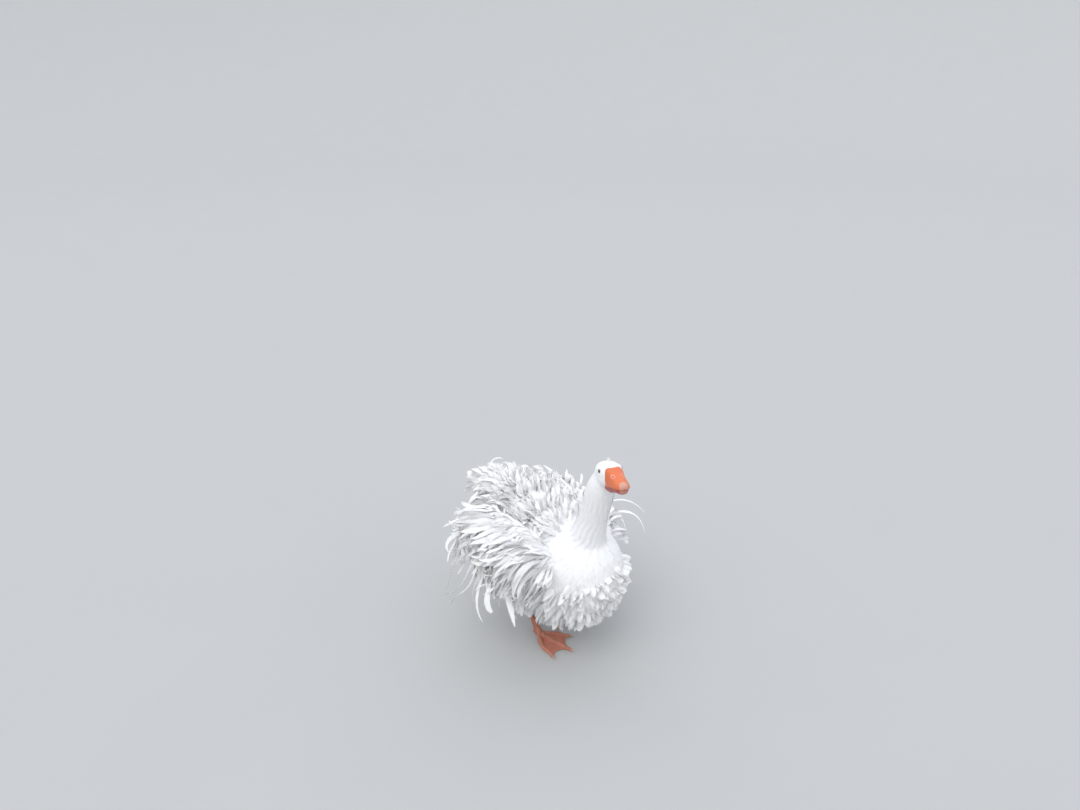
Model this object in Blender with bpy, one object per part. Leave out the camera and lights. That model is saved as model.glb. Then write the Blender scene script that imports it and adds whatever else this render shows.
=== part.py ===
"""A Sebastopol goose standing at rest, life size, as a still model in named pieces.

The goose faces -Y, its left side is +X, and the floor is z = 0 under its feet.
Each piece of the body is a loft from a few sizes. Long curled feathers are swept
strips that are rooted in their own piece and kept clear of every other piece.
"""

import math
import random
from collections import namedtuple

import bmesh
import bpy
from mathutils import Matrix, Quaternion, Vector
from mathutils.bvhtree import BVHTree

UP = Vector((0.0, 0.0, 1.0))
GAP = 0.0003
FLAT_ANGLE = math.radians(0.4)
SEED = 11
SIDES = {"right": -1.0, "left": 1.0}

# Where the body's own origin stands, so that the whole goose is centred on the floor's origin.
STANCE = (-0.0113, -0.0055, 0.0)

# Trunk: an egg lying along Y, blunt at the breast and drawn out at the rump.
TRUNK_WIDEST_Y = -0.030
TRUNK_FRONT = 0.175
TRUNK_REAR = 0.208
TRUNK_HALF_WIDTH = 0.116
TRUNK_RISE = 0.116
TRUNK_DROP = 0.150
TRUNK_AXIS_Z = 0.232
TRUNK_TAIL_LIFT = 0.090
TRUNK_LIFT_POWER = 1.6
TRUNK_FRONT_POWER = 0.74
TRUNK_REAR_POWER = 0.92
TRUNK_RINGS = 15
TRUNK_SIDES = 22

# Neck: a swept tube on four control points, wide where it leaves the breast.
NECK_CONTROLS = (
    (0.0, -0.100, 0.250),
    (0.0, -0.134, 0.330),
    (-0.008, -0.152, 0.420),
    (-0.014, -0.186, 0.516),
)
NECK_BASE_RADIUS = 0.082
NECK_RADIUS = 0.0325
NECK_THROAT_RADIUS = 0.0375
NECK_FLARE_POWER = 5.0
NECK_ROUND_FROM = 0.74
NECK_RINGS = 14
NECK_SIDES = 16

# Head: its own frame, turned to the goose's right and lifted a little.
HEAD_CENTRE = (-0.0155, -0.1945, 0.5165)
HEAD_YAW = math.radians(-28.0)
HEAD_PITCH = math.radians(-13.5)
HEAD_FRONT = 0.043
HEAD_REAR = 0.040
HEAD_HALF_WIDTH = 0.0290
HEAD_RISE = 0.0285
HEAD_DROP = 0.0305
HEAD_POWER = 0.60
HEAD_AXIS_LIFT = 0.002
HEAD_BOXINESS = 0.80
HEAD_RINGS = 14
HEAD_SIDES = 18

# Bill, in the head's frame: s runs from 0 inside the face to 1 at the nail.
BILL_ROOT_Y = -0.016
BILL_FACE_SHARE = 0.26
BILL_LENGTH = 0.0725
BILL_ROOT_HALF_WIDTH = 0.0205
BILL_TIP_HALF_WIDTH = 0.0150
BILL_ROOT_TOP_Z = 0.0205
BILL_TIP_TOP_Z = -0.0045
BILL_MOUTH_Z = -0.0212
BILL_GRIN = 0.0035
BILL_MOUTH_RISE = 0.0065
BILL_LOWER_DEPTH = 0.0120
BILL_LOWER_TAPER = 0.55
BILL_LOWER_FOLLOW = 0.85
BILL_ROUND_FROM = 0.80
BILL_BOXINESS = 0.68
BILL_TIP_SOFTENING = 0.12
BILL_LOWER_SHARE = 0.90
BILL_LOWER_REACH = 0.965
BILL_RINGS = 11
BILL_SIDES = 12
NOSTRIL_PLACE = (0.0112, -0.0535, 0.0066)
NOSTRIL_HALF_SIZE = (0.0026, 0.0048, 0.0030)

# Eyes, in the head's frame.
EYE_RADIUS = 0.0062
EYE_PLACE = (0.0230, -0.0110, 0.0108)
LID_RING_RADIUS = 0.0062
LID_THICKNESS = 0.0013
LID_FORWARD_SHARE = 0.42
LID_FLATNESS = 0.86

# Legs. The right leg is the forward one. Places are for the goose's left, x is mirrored.
ANKLE_Y = {"right": -0.014, "left": 0.030}
ANKLE_X = 0.053
ANKLE_Z = 0.019
ANKLE_TOP = 0.012
ANKLE_RADIUS = 0.0098
ANKLE_HEIGHT = 0.028
ANKLE_BASE = 0.008
ANKLE_CUT_RADIUS = 0.020
HOCK_SHIFT = (0.004, 0.040, 0.066)
HOCK_SEAT = 0.004
SHANK_RADIUS = 0.0080
THIGH_TOP_SHIFT = (0.002, -0.008, 0.118)
THIGH_TOP_RADIUS = 0.047
THIGH_HOCK_RADIUS = 0.0150
THIGH_BULGE = 0.022
THIGH_SWELL = 0.004
THIGH_TAPER_POWER = 1.15

# Feet: toes fan from the ankle, measured from straight ahead, inner side positive.
TOE_IN = math.radians(9.0)
Toe = namedtuple("Toe", "name spread length root_radius bow")
FRONT_TOES = (
    Toe("outer", math.radians(-30.0), 0.093, 0.0064, 0.0085),
    Toe("middle", math.radians(0.0), 0.101, 0.0068, 0.0),
    Toe("inner", math.radians(31.0), 0.081, 0.0062, -0.0050),
)
HIND_TOE = Toe("hind", math.radians(160.0), 0.017, 0.0040, 0.0)
HIND_TOE_START_Z = 0.009
TOE_TIP_SHARE = 0.62
TOE_SIDES = 8
TOE_FLATNESS = 0.86
TOE_JOINT_SWELL = 0.10
WEB_TOP_Z = 0.0042
WEB_BOTTOM_Z = 0.0018
WEB_HOLLOW = 0.16
WEB_REACH = 0.93
CLAW_LENGTH = 0.012
CLAW_RADIUS = 0.0030
HIND_CLAW_SHARE = 0.65
CLAW_TAPER = 0.82

# Wings: a flat pad over each flank that carries the long feathers.
WING_CENTRE = (0.098, 0.022, 0.268)
WING_HALF_SIZE = (0.034, 0.140, 0.078)
WING_TILT = math.radians(-6.0)
WING_RINGS = 12
WING_SIDES = 16

# Tail: a short stump behind the rump that carries the fan.
TAIL_CENTRE = (0.0, 0.172, 0.326)
TAIL_HALF_SIZE = (0.046, 0.046, 0.026)
TAIL_TILT = math.radians(16.0)
TAIL_FAN = 0.75
TAIL_RINGS = 9
TAIL_SIDES = 14

# Feathers.
VANE_THICKNESS = 0.0010
FLOOR_CLEARANCE = 0.006
VANE_CLEARANCE = 0.0007
ROOT_SINK = 0.007
SKIN_LIFT = 0.30
BEND_TRIES = 5
BEND_STEP = 0.30
BEND_SHORTENING = 0.94
SKIN_CLEARANCE = 0.010
SETTLE_HEIGHT = 0.05
STEER = 0.5

# A tract is one tier of like feathers. start and stop are places on the piece that it grows from. heading
# mixes (out to the side, back along the body, upward), and the rates are radians per metre.
Tract = namedtuple("Tract", "start stop count heading length width steps droop curl swirl spin shape")
PLUME = (0.45, 0.70, 0.95, 1.0, 0.80, 0.18)
PADDLE = (0.35, 0.42, 0.60, 0.95, 1.0, 0.30)
PETAL = (0.55, 1.0, 0.95, 0.30)

WING_TRACTS = (
    Tract((-0.84, 0.46), (0.66, 0.74), 8, (0.80, 0.45, 0.40), 0.165, 0.023, 5, 15.0, 1.0, 4.0, 4.0, PLUME),
    Tract((-0.88, 0.18), (0.80, 0.36), 7, (0.45, 0.45, 0.00), 0.140, 0.024, 5, 10.0, 2.0, 4.0, 4.0, PLUME),
    Tract((-0.84, -0.20), (0.86, -0.04), 8, (0.20, 0.40, -0.60), 0.160, 0.023, 5, 5.0, 1.0, 3.0, 4.0, PADDLE),
    Tract((-0.50, -0.64), (0.66, -0.54), 6, (0.10, 0.35, -0.85), 0.140, 0.023, 4, 3.0, 3.0, 3.0, 3.0, PLUME),
    Tract((0.86, -0.44), (0.86, 0.26), 6, (0.40, 0.28, -0.95), 0.210, 0.022, 6, 2.5, -1.0, 2.0, 4.0, PADDLE),
    Tract((-0.97, 0.02), (-0.90, 0.34), 3, (0.90, -0.25, 0.20), 0.070, 0.018, 4, 10.0, 12.0, 6.0, 5.0, PLUME),
)
TAIL_TRACTS = (
    Tract((-0.80, -0.10), (0.80, -0.10), 9, (0.0, 1.0, 0.16), 0.070, 0.027, 4, 9.0, 4.0, 1.5, 1.5, PADDLE),
    Tract((-0.62, 0.45), (0.62, 0.45), 6, (0.4, 1.0, 0.60), 0.070, 0.023, 4, 14.0, 4.0, 5.0, 4.0, PLUME),
)
# Trunk tracts run along a ring round the body. Places are (degrees round from the left side, share of
# the length from the breast to the rump).
TRUNK_TRACTS = (
    Tract((58.0, 0.42), (122.0, 0.42), 4, (0.9, 0.8, 0.5), 0.080, 0.022, 4, 14.0, 3.0, 8.0, 6.0, PLUME),
    Tract((54.0, 0.54), (126.0, 0.54), 5, (0.9, 0.8, 0.6), 0.095, 0.023, 4, 14.0, 3.0, 8.0, 6.0, PLUME),
    Tract((54.0, 0.66), (126.0, 0.66), 5, (0.9, 0.8, 0.6), 0.095, 0.023, 4, 13.0, 3.0, 8.0, 6.0, PLUME),
    Tract((34.0, 0.77), (146.0, 0.77), 6, (0.8, 0.8, 0.6), 0.090, 0.024, 4, 13.0, 3.0, 8.0, 6.0, PLUME),
    Tract((4.0, 0.87), (176.0, 0.87), 6, (1.3, 0.7, 0.3), 0.085, 0.024, 4, 13.0, 3.0, 6.0, 5.0, PLUME),
    Tract((200.0, 0.09), (500.0, 0.09), 6, (0.0, 0.7, -0.8), 0.044, 0.036, 3, 4.0, 5.0, 0.0, 0.0, PETAL),
    Tract((170.0, 0.17), (370.0, 0.17), 9, (0.0, 0.9, -0.7), 0.046, 0.036, 3, 4.0, 5.0, 0.0, 0.0, PETAL),
    Tract((176.0, 0.25), (364.0, 0.25), 9, (0.0, 0.9, -0.7), 0.048, 0.036, 3, 4.0, 5.0, 0.0, 0.0, PETAL),
    Tract((186.0, 0.33), (354.0, 0.33), 9, (0.0, 0.9, -0.6), 0.050, 0.036, 3, 4.0, 5.0, 0.0, 0.0, PETAL),
    Tract((200.0, 0.42), (340.0, 0.42), 7, (0.0, 0.9, -0.6), 0.052, 0.036, 3, 4.0, 5.0, 0.0, 0.0, PETAL),
    Tract((208.0, 0.53), (332.0, 0.53), 6, (0.2, 0.9, -0.5), 0.058, 0.030, 3, 5.0, 4.0, 4.0, 4.0, PLUME),
    Tract((208.0, 0.66), (332.0, 0.66), 6, (0.3, 0.9, -0.5), 0.066, 0.028, 3, 5.0, 4.0, 4.0, 4.0, PLUME),
    Tract((205.0, 0.80), (335.0, 0.80), 6, (0.5, 0.9, -0.5), 0.070, 0.026, 3, 5.0, 4.0, 4.0, 4.0, PLUME),
)
THIGH_TRACTS = (
    Tract((-150.0, 0.34), (150.0, 0.34), 7, (0.3, 0.5, -1.0), 0.046, 0.020, 4, 3.0, 4.0, 3.0, 3.0, PLUME),
    Tract((-170.0, 0.58), (130.0, 0.58), 6, (0.3, 0.4, -1.0), 0.040, 0.017, 4, 3.0, 5.0, 3.0, 3.0, PLUME),
)

COLOURS = {
    "feather": ((0.86, 0.86, 0.85), 0.62),
    "bill": ((0.80, 0.24, 0.07), 0.38),
    "leg": ((0.55, 0.17, 0.09), 0.55),
    "claw": ((0.72, 0.55, 0.42), 0.45),
    "eye": ((0.012, 0.014, 0.022), 0.08),
}


def clear_scene():
    """Removes the objects that the file opened with."""
    for obj in list(bpy.data.objects):
        bpy.data.objects.remove(obj, do_unlink=True)


def new_collection(name):
    collection = bpy.data.collections.new(name)
    bpy.context.scene.collection.children.link(collection)
    return collection


def material(slot):
    """One Principled material for each colour slot."""
    found = bpy.data.materials.get(slot)
    if found:
        return found
    colour, roughness = COLOURS[slot]
    made = bpy.data.materials.new(slot)
    made.use_nodes = True
    shader = made.node_tree.nodes["Principled BSDF"]
    shader.inputs["Base Color"].default_value = (*colour, 1.0)
    shader.inputs["Roughness"].default_value = roughness
    shader.inputs["Metallic"].default_value = 0.0
    return made


def object_from(name, verts, faces, slot, collection):
    """A mesh object with its normals facing out, shaded smooth."""
    mesh = bpy.data.meshes.new(name)
    mesh.from_pydata([tuple(v) for v in verts], [], faces)
    work = bmesh.new()
    work.from_mesh(mesh)
    bmesh.ops.recalc_face_normals(work, faces=work.faces)
    work.to_mesh(mesh)
    work.free()
    mesh.materials.append(material(slot))
    mesh.shade_smooth()
    mesh.set_sharp_from_angle(angle=math.radians(50.0))
    obj = bpy.data.objects.new(name, mesh)
    collection.objects.link(obj)
    return obj


def loft(rings, tip_start=None, tip_end=None):
    """Vertices and faces of a closed skin through equal rings, with a point or flat cap at each end."""
    count = len(rings[0])
    verts = [point for ring in rings for point in ring]
    faces = []
    for ring in range(len(rings) - 1):
        for side in range(count):
            a = ring * count + side
            b = ring * count + (side + 1) % count
            faces.append((a, b, b + count, a + count))
    for tip, first in ((tip_start, 0), (tip_end, (len(rings) - 1) * count)):
        if tip is None:
            faces.append(tuple(range(first, first + count)))
            continue
        verts.append(tip)
        faces.extend((first + side, first + (side + 1) % count, len(verts) - 1) for side in range(count))
    return verts, faces


def superellipse(angle, width, height, power):
    """A point of a rounded cross-section, for an angle in radians."""
    c, s = math.cos(angle), math.sin(angle)
    return math.copysign(abs(c) ** power, c) * width, math.copysign(abs(s) ** power, s) * height


def egg_ring(phi, sides, half_width, rise, drop, power=1.0, grow=0.0, boxiness=1.0):
    """One ring of an egg, as (sideways, upward) pairs. phi runs from 0 at the front tip to pi at the rear."""
    scale = math.sin(phi) ** power
    ring = []
    for side in range(sides):
        angle = 2.0 * math.pi * side / sides
        height = rise if math.sin(angle) >= 0.0 else drop
        ring.append(superellipse(angle, half_width * scale + grow, height * scale + grow, boxiness))
    return ring


# The trunk and the places on its skin.


def trunk_axis(phi):
    """Where the trunk's axis is for phi: (y, z)."""
    length = TRUNK_FRONT if phi < math.pi / 2 else TRUNK_REAR
    back = -math.cos(phi)
    lift = TRUNK_TAIL_LIFT * max(0.0, back) ** TRUNK_LIFT_POWER
    return TRUNK_WIDEST_Y + back * length, TRUNK_AXIS_Z + lift


def trunk_power(phi):
    return TRUNK_FRONT_POWER if phi < math.pi / 2 else TRUNK_REAR_POWER


def trunk_point(degrees_round, share):
    """A point on the trunk: degrees round from the left side, and share of the way from breast to rump."""
    phi, angle = math.pi * share, math.radians(degrees_round)
    scale = math.sin(phi) ** trunk_power(phi)
    height = TRUNK_RISE if math.sin(angle) >= 0.0 else TRUNK_DROP
    y, z = trunk_axis(phi)
    return Vector((math.cos(angle) * TRUNK_HALF_WIDTH * scale, y, z + math.sin(angle) * height * scale))


def trunk_normal(degrees_round, share):
    step = 0.5
    round_way = trunk_point(degrees_round + step, share) - trunk_point(degrees_round - step, share)
    along = trunk_point(degrees_round, share + 0.004) - trunk_point(degrees_round, share - 0.004)
    return along.cross(round_way).normalized()


def trunk_shape(grow=0.0):
    """The trunk's skin, grown outward by grow."""
    rings = []
    for ring in range(1, TRUNK_RINGS):
        phi = math.pi * ring / TRUNK_RINGS
        y, z = trunk_axis(phi)
        y -= math.cos(phi) * grow
        flat = egg_ring(phi, TRUNK_SIDES, TRUNK_HALF_WIDTH, TRUNK_RISE, TRUNK_DROP, trunk_power(phi), grow)
        rings.append([Vector((x, y, z + up)) for x, up in flat])
    front, rear = trunk_axis(0.0), trunk_axis(math.pi)
    return loft(rings, Vector((0, front[0] - grow, front[1])), Vector((0, rear[0] + grow, rear[1])))


def trunk_clearance(point):
    """(distance outside the trunk, outward direction) for a point, measured across the axis."""
    back = point.y - TRUNK_WIDEST_Y
    share = back / (TRUNK_FRONT if back < 0.0 else TRUNK_REAR)
    if abs(share) >= 0.98:
        return 1.0, Vector((0, 0, 1))
    phi = math.acos(-share)
    scale = math.sin(phi) ** trunk_power(phi)
    across = Vector((point.x, 0.0, point.z - trunk_axis(phi)[1]))
    height = TRUNK_RISE if across.z >= 0.0 else TRUNK_DROP
    reach = across.length
    if reach < 1e-6:
        return -1.0, Vector((0, 0, 1))
    way = across / reach
    skin = scale / math.sqrt((way.x / TRUNK_HALF_WIDTH) ** 2 + (way.z / height) ** 2)
    return reach - skin, way


# Neck, head, bill and eyes.


def bezier(controls, t):
    a, b, c, d = (Vector(p) for p in controls)
    u = 1.0 - t
    return a * u**3 + b * 3 * u * u * t + c * 3 * u * t * t + d * t**3


def bezier_way(controls, t):
    return (bezier(controls, t + 0.01) - bezier(controls, t - 0.01)).normalized()


def neck_radius(t):
    """Slim in the middle, wide at the breast and at the throat, and closing in under the head."""
    radius = NECK_RADIUS + (NECK_THROAT_RADIUS - NECK_RADIUS) * t**1.5
    radius += (NECK_BASE_RADIUS - NECK_RADIUS) * (1.0 - t) ** NECK_FLARE_POWER
    if t > NECK_ROUND_FROM:
        radius *= math.sqrt(1.0 - 0.75 * ((t - NECK_ROUND_FROM) / (1.0 - NECK_ROUND_FROM)) ** 2)
    return radius


def tube_rings(controls, radius, count, sides, side_way=Vector((1, 0, 0)), start=0.0, stop=1.0):
    """Rings round a curve, held level by side_way."""
    rings = []
    for ring in range(count):
        t = start + (stop - start) * ring / (count - 1)
        way = bezier_way(controls, t)
        across = (side_way - way * side_way.dot(way)).normalized()
        over = way.cross(across)
        middle, r = bezier(controls, t), radius(t)
        angles = [2.0 * math.pi * side / sides for side in range(sides)]
        rings.append([middle + across * (r * math.cos(a)) + over * (r * math.sin(a)) for a in angles])
    return rings


def head_frame():
    turn = Matrix.Rotation(HEAD_YAW, 4, "Z") @ Matrix.Rotation(HEAD_PITCH, 4, "X")
    return Matrix.Translation(HEAD_CENTRE) @ turn


def head_shape(grow=0.0):
    """The head without its bill: round at the back, full in the cheek and narrow at the face."""
    frame = head_frame()
    rings = []
    for ring in range(1, HEAD_RINGS):
        phi = math.pi * ring / HEAD_RINGS
        back = -math.cos(phi)
        y = back * ((HEAD_REAR if back > 0.0 else HEAD_FRONT) + grow)
        z = HEAD_AXIS_LIFT * back
        sizes = (HEAD_HALF_WIDTH, HEAD_RISE, HEAD_DROP, HEAD_POWER, grow, HEAD_BOXINESS)
        flat = egg_ring(phi, HEAD_SIDES, *sizes)
        rings.append([frame @ Vector((x, y, z + up)) for x, up in flat])
    tip_front = frame @ Vector((0, -HEAD_FRONT - grow, 0))
    return loft(rings, tip_front, frame @ Vector((0, HEAD_REAR + grow, 0)))


def bill_out(s):
    """How far along the part of the bill that shows: 0 up to the face, 1 at the nail."""
    return max(0.0, (s - BILL_FACE_SHARE) / (1.0 - BILL_FACE_SHARE))


def bill_half_width(s):
    width = BILL_ROOT_HALF_WIDTH + (BILL_TIP_HALF_WIDTH - BILL_ROOT_HALF_WIDTH) * bill_out(s)
    if s > BILL_ROUND_FROM:
        width *= math.sqrt(max(0.02, 1.0 - ((s - BILL_ROUND_FROM) / (1.0 - BILL_ROUND_FROM)) ** 2))
    return width


def mouth_z(s):
    out = bill_out(s)
    return BILL_MOUTH_Z + BILL_MOUTH_RISE * out + BILL_GRIN * math.sin(math.pi * out)


def bill_top_z(s):
    return BILL_TIP_TOP_Z + (BILL_ROOT_TOP_Z - BILL_TIP_TOP_Z) * (1.0 - bill_out(s)) ** 1.2


def bill_lower_depth(s):
    """The lower bill thins towards its tip, and its chin rises less than the mouth line does."""
    taper = 1.0 - BILL_LOWER_TAPER * s**2
    return BILL_LOWER_DEPTH * taper + BILL_LOWER_FOLLOW * BILL_MOUTH_RISE * bill_out(s)


def bill_shape(upper):
    """The upper or lower bill: a flat mouth face with an arched back, from inside the face to the nail."""
    frame, rings = head_frame(), []
    for ring in range(BILL_RINGS):
        s = ring / (BILL_RINGS - 1)
        reach = s if upper else s * BILL_LOWER_REACH
        y = BILL_ROOT_Y - BILL_LENGTH * reach
        half = bill_half_width(s) * (1.0 if upper else BILL_LOWER_SHARE)
        mouth = mouth_z(reach) + (GAP / 2 if upper else -GAP / 2)
        depth = bill_top_z(s) - mouth if upper else bill_lower_depth(s)
        points = []
        for side in range(BILL_SIDES):
            angle = math.pi * side / (BILL_SIDES - 1)
            x, up = superellipse(angle, half, depth, BILL_BOXINESS + BILL_TIP_SOFTENING * bill_out(s))
            points.append(frame @ Vector((x, y, mouth + (up if upper else -up))))
        rings.append(points)
    return loft(rings)


def eye_middle(side):
    x, y, z = EYE_PLACE
    return head_frame() @ Vector((side * x, y, z))


def eye_way(side):
    """The way an eye looks: sideways, a little forward and up."""
    return (head_frame().to_3x3() @ Vector((side * 1.0, -0.10, 0.12))).normalized()


def sphere(name, middle, radius, slot, collection):
    mesh = bpy.data.meshes.new(name)
    work = bmesh.new()
    bmesh.ops.create_uvsphere(work, u_segments=12, v_segments=7, radius=radius)
    work.to_mesh(mesh)
    work.free()
    mesh.materials.append(material(slot))
    mesh.shade_smooth()
    obj = bpy.data.objects.new(name, mesh)
    obj.matrix_world = Matrix.Translation(middle)
    collection.objects.link(obj)
    return obj


def lid_ring(name, side, collection):
    """The rim of skin round an eye, as a thin swept ring."""
    way = eye_way(side)
    across = way.cross(UP).normalized()
    over = way.cross(across)
    middle = eye_middle(side) + way * (EYE_RADIUS * LID_FORWARD_SHARE)
    rings, around, sides = [], 16, 6
    for ring in range(around):
        a = 2.0 * math.pi * ring / around
        out = across * math.cos(a) + over * (LID_FLATNESS * math.sin(a))
        points = []
        for corner in range(sides):
            b = 2.0 * math.pi * corner / sides
            reach = LID_RING_RADIUS + LID_THICKNESS * math.cos(b)
            points.append(middle + out * reach + way * (LID_THICKNESS * math.sin(b)))
        rings.append(points)
    verts = [p for ring in rings for p in ring]
    faces = []
    for ring in range(around):
        for corner in range(sides):
            a, b = ring * sides + corner, ring * sides + (corner + 1) % sides
            shift = ((ring + 1) % around - ring) * sides
            faces.append((a, b, b + shift, a + shift))
    return object_from(name, verts, faces, "feather", collection)


# Joining and cutting.


def join_pieces(base, pieces):
    """One Boolean union of a piece with what grows from it, applied, keeping its largest closed surface."""
    if not pieces.objects:
        return
    union = base.modifiers.new("joined", "BOOLEAN")
    union.operation = "UNION"
    union.operand_type = "COLLECTION"
    union.collection = pieces
    union.solver = "MANIFOLD"
    apply_modifiers(base)
    for obj in list(pieces.objects):
        bpy.data.objects.remove(obj, do_unlink=True)
    keep_largest(base)


def cut_away(base, cutters):
    """Cuts each cutter from a piece, applied, keeping its largest closed surface."""
    for cutter in cutters:
        cut = base.modifiers.new("cut", "BOOLEAN")
        cut.operation = "DIFFERENCE"
        cut.object = cutter
        cut.solver = "MANIFOLD"
    apply_modifiers(base)
    keep_largest(base)


def apply_modifiers(obj):
    """Replaces an object's mesh by its evaluated one."""
    bpy.context.view_layer.update()
    graph = bpy.context.evaluated_depsgraph_get()
    made = bpy.data.meshes.new_from_object(obj.evaluated_get(graph))
    obj.modifiers.clear()
    obj.data = made


def keep_largest(obj):
    """Drops every closed surface but the one that holds most volume."""
    work = bmesh.new()
    work.from_mesh(obj.data)
    bmesh.ops.triangulate(work, faces=work.faces)
    seen, islands = set(), []
    for face in work.faces:
        if face in seen:
            continue
        island, stack = [], [face]
        seen.add(face)
        while stack:
            at = stack.pop()
            island.append(at)
            for edge in at.edges:
                for other in edge.link_faces:
                    if other not in seen:
                        seen.add(other)
                        stack.append(other)
        islands.append(island)
    islands.sort(key=lambda faces: -abs(sum(island_volume(f) for f in faces)))
    loose = [f for island in islands[1:] for f in island]
    bmesh.ops.delete(work, geom=loose, context="FACES")
    bmesh.ops.dissolve_limit(work, angle_limit=FLAT_ANGLE, verts=work.verts, edges=work.edges)
    bmesh.ops.triangulate(work, faces=work.faces)
    work.to_mesh(obj.data)
    work.free()


def island_volume(face):
    a, b, c = (v.co for v in face.verts)
    return a.dot(b.cross(c)) / 6.0


def as_cutter(obj, cutters):
    """Moves a helper object to the cutters, out of the render."""
    for home in list(obj.users_collection):
        home.objects.unlink(obj)
    cutters.objects.link(obj)
    obj.hide_render = True
    obj.display_type = "WIRE"
    return obj


# Feathers.


class Plumage:
    """Grows feathers from pieces, and keeps each clear of the other pieces and of what grows from them."""

    def __init__(self, nodes):
        self.nodes = nodes
        self.trees = {name: [self.tree_of(obj)] for name, obj in nodes.items()}
        self.grown = {}

    @staticmethod
    def tree_of(obj):
        matrix = obj.matrix_world
        verts = [matrix @ v.co for v in obj.data.vertices]
        return BVHTree.FromPolygons(verts, [tuple(p.vertices) for p in obj.data.polygons])

    def crosses(self, name, verts, faces):
        tree = BVHTree.FromPolygons(verts, faces)
        others = (t for other, trees in self.trees.items() if other != name for t in trees)
        return any(tree.overlap(other) for other in others)

    def grow(self, name, root, normal, heading, tract, draw):
        """Adds one feather, bent further out or shortened where it would cross another piece."""
        length = tract.length * draw.uniform(0.86, 1.14)
        width = tract.width * draw.uniform(0.85, 1.15)
        curl = tract.curl * draw.uniform(0.3, 1.7)
        swirl = tract.swirl * draw.uniform(-1.0, 1.0)
        spin = tract.spin * draw.uniform(-1.0, 1.0)
        for attempt in range(BEND_TRIES + 1):
            way = (heading + normal * BEND_STEP * attempt).normalized()
            spine = feather_spine(root, way, normal, length, tract.steps, tract.droop, curl, swirl, spin)
            fat = vane(spine, width + 2 * VANE_CLEARANCE, VANE_THICKNESS + 2 * VANE_CLEARANCE, tract.shape)
            low = min(v.z for v in fat[0])
            if low > FLOOR_CLEARANCE and not self.crosses(name, *fat):
                verts, faces = vane(spine, width, VANE_THICKNESS, tract.shape)
                self.trees[name].append(BVHTree.FromPolygons(verts, faces))
                self.grown.setdefault(name, []).append((verts, faces))
                return
            length *= BEND_SHORTENING

    def fuse(self):
        """Joins each piece with its feathers."""
        for name, feathers in self.grown.items():
            pieces = new_collection(name + "_feathers")
            for number, (verts, faces) in enumerate(feathers):
                object_from(f"{name}_feather_{number}", verts, faces, "feather", pieces)
            join_pieces(self.nodes[name], pieces)
            bpy.data.collections.remove(pieces)


def feather_spine(root, way, face, length, steps, droop, curl, swirl, spin):
    """A curled midrib as (point, side way, face way) triples, from under the skin to the tip."""
    step = length / steps
    ahead, face = way.copy(), (face - way * face.dot(way)).normalized()
    at = root - way * ROOT_SINK
    spine = [(at.copy(), ahead.cross(face).normalized(), face.copy())]
    at = root.copy()
    for number in range(steps):
        share = (number + 0.5) / steps
        across = ahead.cross(face).normalized()
        turns = (
            Quaternion(across, -curl * step * (2.0 * share)),
            Quaternion(face, swirl * step * (2.0 * share)),
            Quaternion(ahead, spin * step),
        )
        fall_axis = ahead.cross(-UP)
        if fall_axis.length > 1e-4:
            turns += (Quaternion(fall_axis.normalized(), droop * step * fall_axis.length),)
        for turn in turns:
            ahead.rotate(turn)
            face.rotate(turn)
        clear, out = trunk_clearance(at)
        if clear < SKIN_CLEARANCE and number > 0:
            ahead = (ahead + out * STEER).normalized()
        if at.z < SETTLE_HEIGHT and ahead.z < -0.2:
            ahead = (ahead + UP * STEER).normalized()
        face = (face - ahead * face.dot(ahead)).normalized()
        at = at + ahead * step
        spine.append((at.copy(), ahead.cross(face).normalized(), face.copy()))
    return spine


def vane(spine, width, thickness, shape):
    """A flat feather along its midrib, as triangles that are split alike on both faces."""
    verts, faces = [], []
    for number, (at, across, face) in enumerate(spine):
        place = number / (len(spine) - 1) * (len(shape) - 1)
        low = min(int(place), len(shape) - 2)
        share = shape[low] + (shape[low + 1] - shape[low]) * (place - low)
        half, thick = across * (width * share / 2), face * (thickness / 2)
        verts += [at - half - thick, at + half - thick, at + half + thick, at - half + thick]
    for ring in range(len(spine) - 1):
        a, b = ring * 4, ring * 4 + 4
        faces += [(a, b, a + 1), (a + 1, b, b + 1), (a + 3, a + 2, b + 3), (a + 2, b + 2, b + 3)]
        faces += [(a, a + 3, b), (a + 3, b + 3, b), (a + 1, b + 1, a + 2), (a + 2, b + 1, b + 2)]
    last = len(verts) - 4
    faces += [(0, 1, 2), (0, 2, 3), (last, last + 2, last + 1), (last, last + 3, last + 2)]
    return verts, faces


def mixed_heading(normal, mix, side_lean=0.0):
    """A heading from its shares to the side, back and up, kept from pointing into the skin."""
    out, back, up = mix
    side = max(-1.0, min(1.0, normal.x * 1.6))
    way = Vector((side * out + side_lean, back, up)).normalized()
    inward = way.dot(normal)
    if inward < SKIN_LIFT:
        way += normal * (SKIN_LIFT - inward)
    return way.normalized()


# The pieces that feathers grow from.


def wing_frame(side):
    x, y, z = WING_CENTRE
    return Matrix.Translation((side * x, y, z)) @ Matrix.Rotation(-WING_TILT, 4, "X")


def wing_shape(side, grow=0.0):
    frame, rings = wing_frame(side), []
    out, half, high = (size + grow for size in WING_HALF_SIZE)
    for ring in range(1, WING_RINGS):
        phi = math.pi * ring / WING_RINGS
        flat = egg_ring(phi, WING_SIDES, out, high, high, 0.85)
        rings.append([frame @ Vector((x, -math.cos(phi) * half, up)) for x, up in flat])
    return loft(rings, frame @ Vector((0, -half, 0)), frame @ Vector((0, half, 0)))


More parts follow.
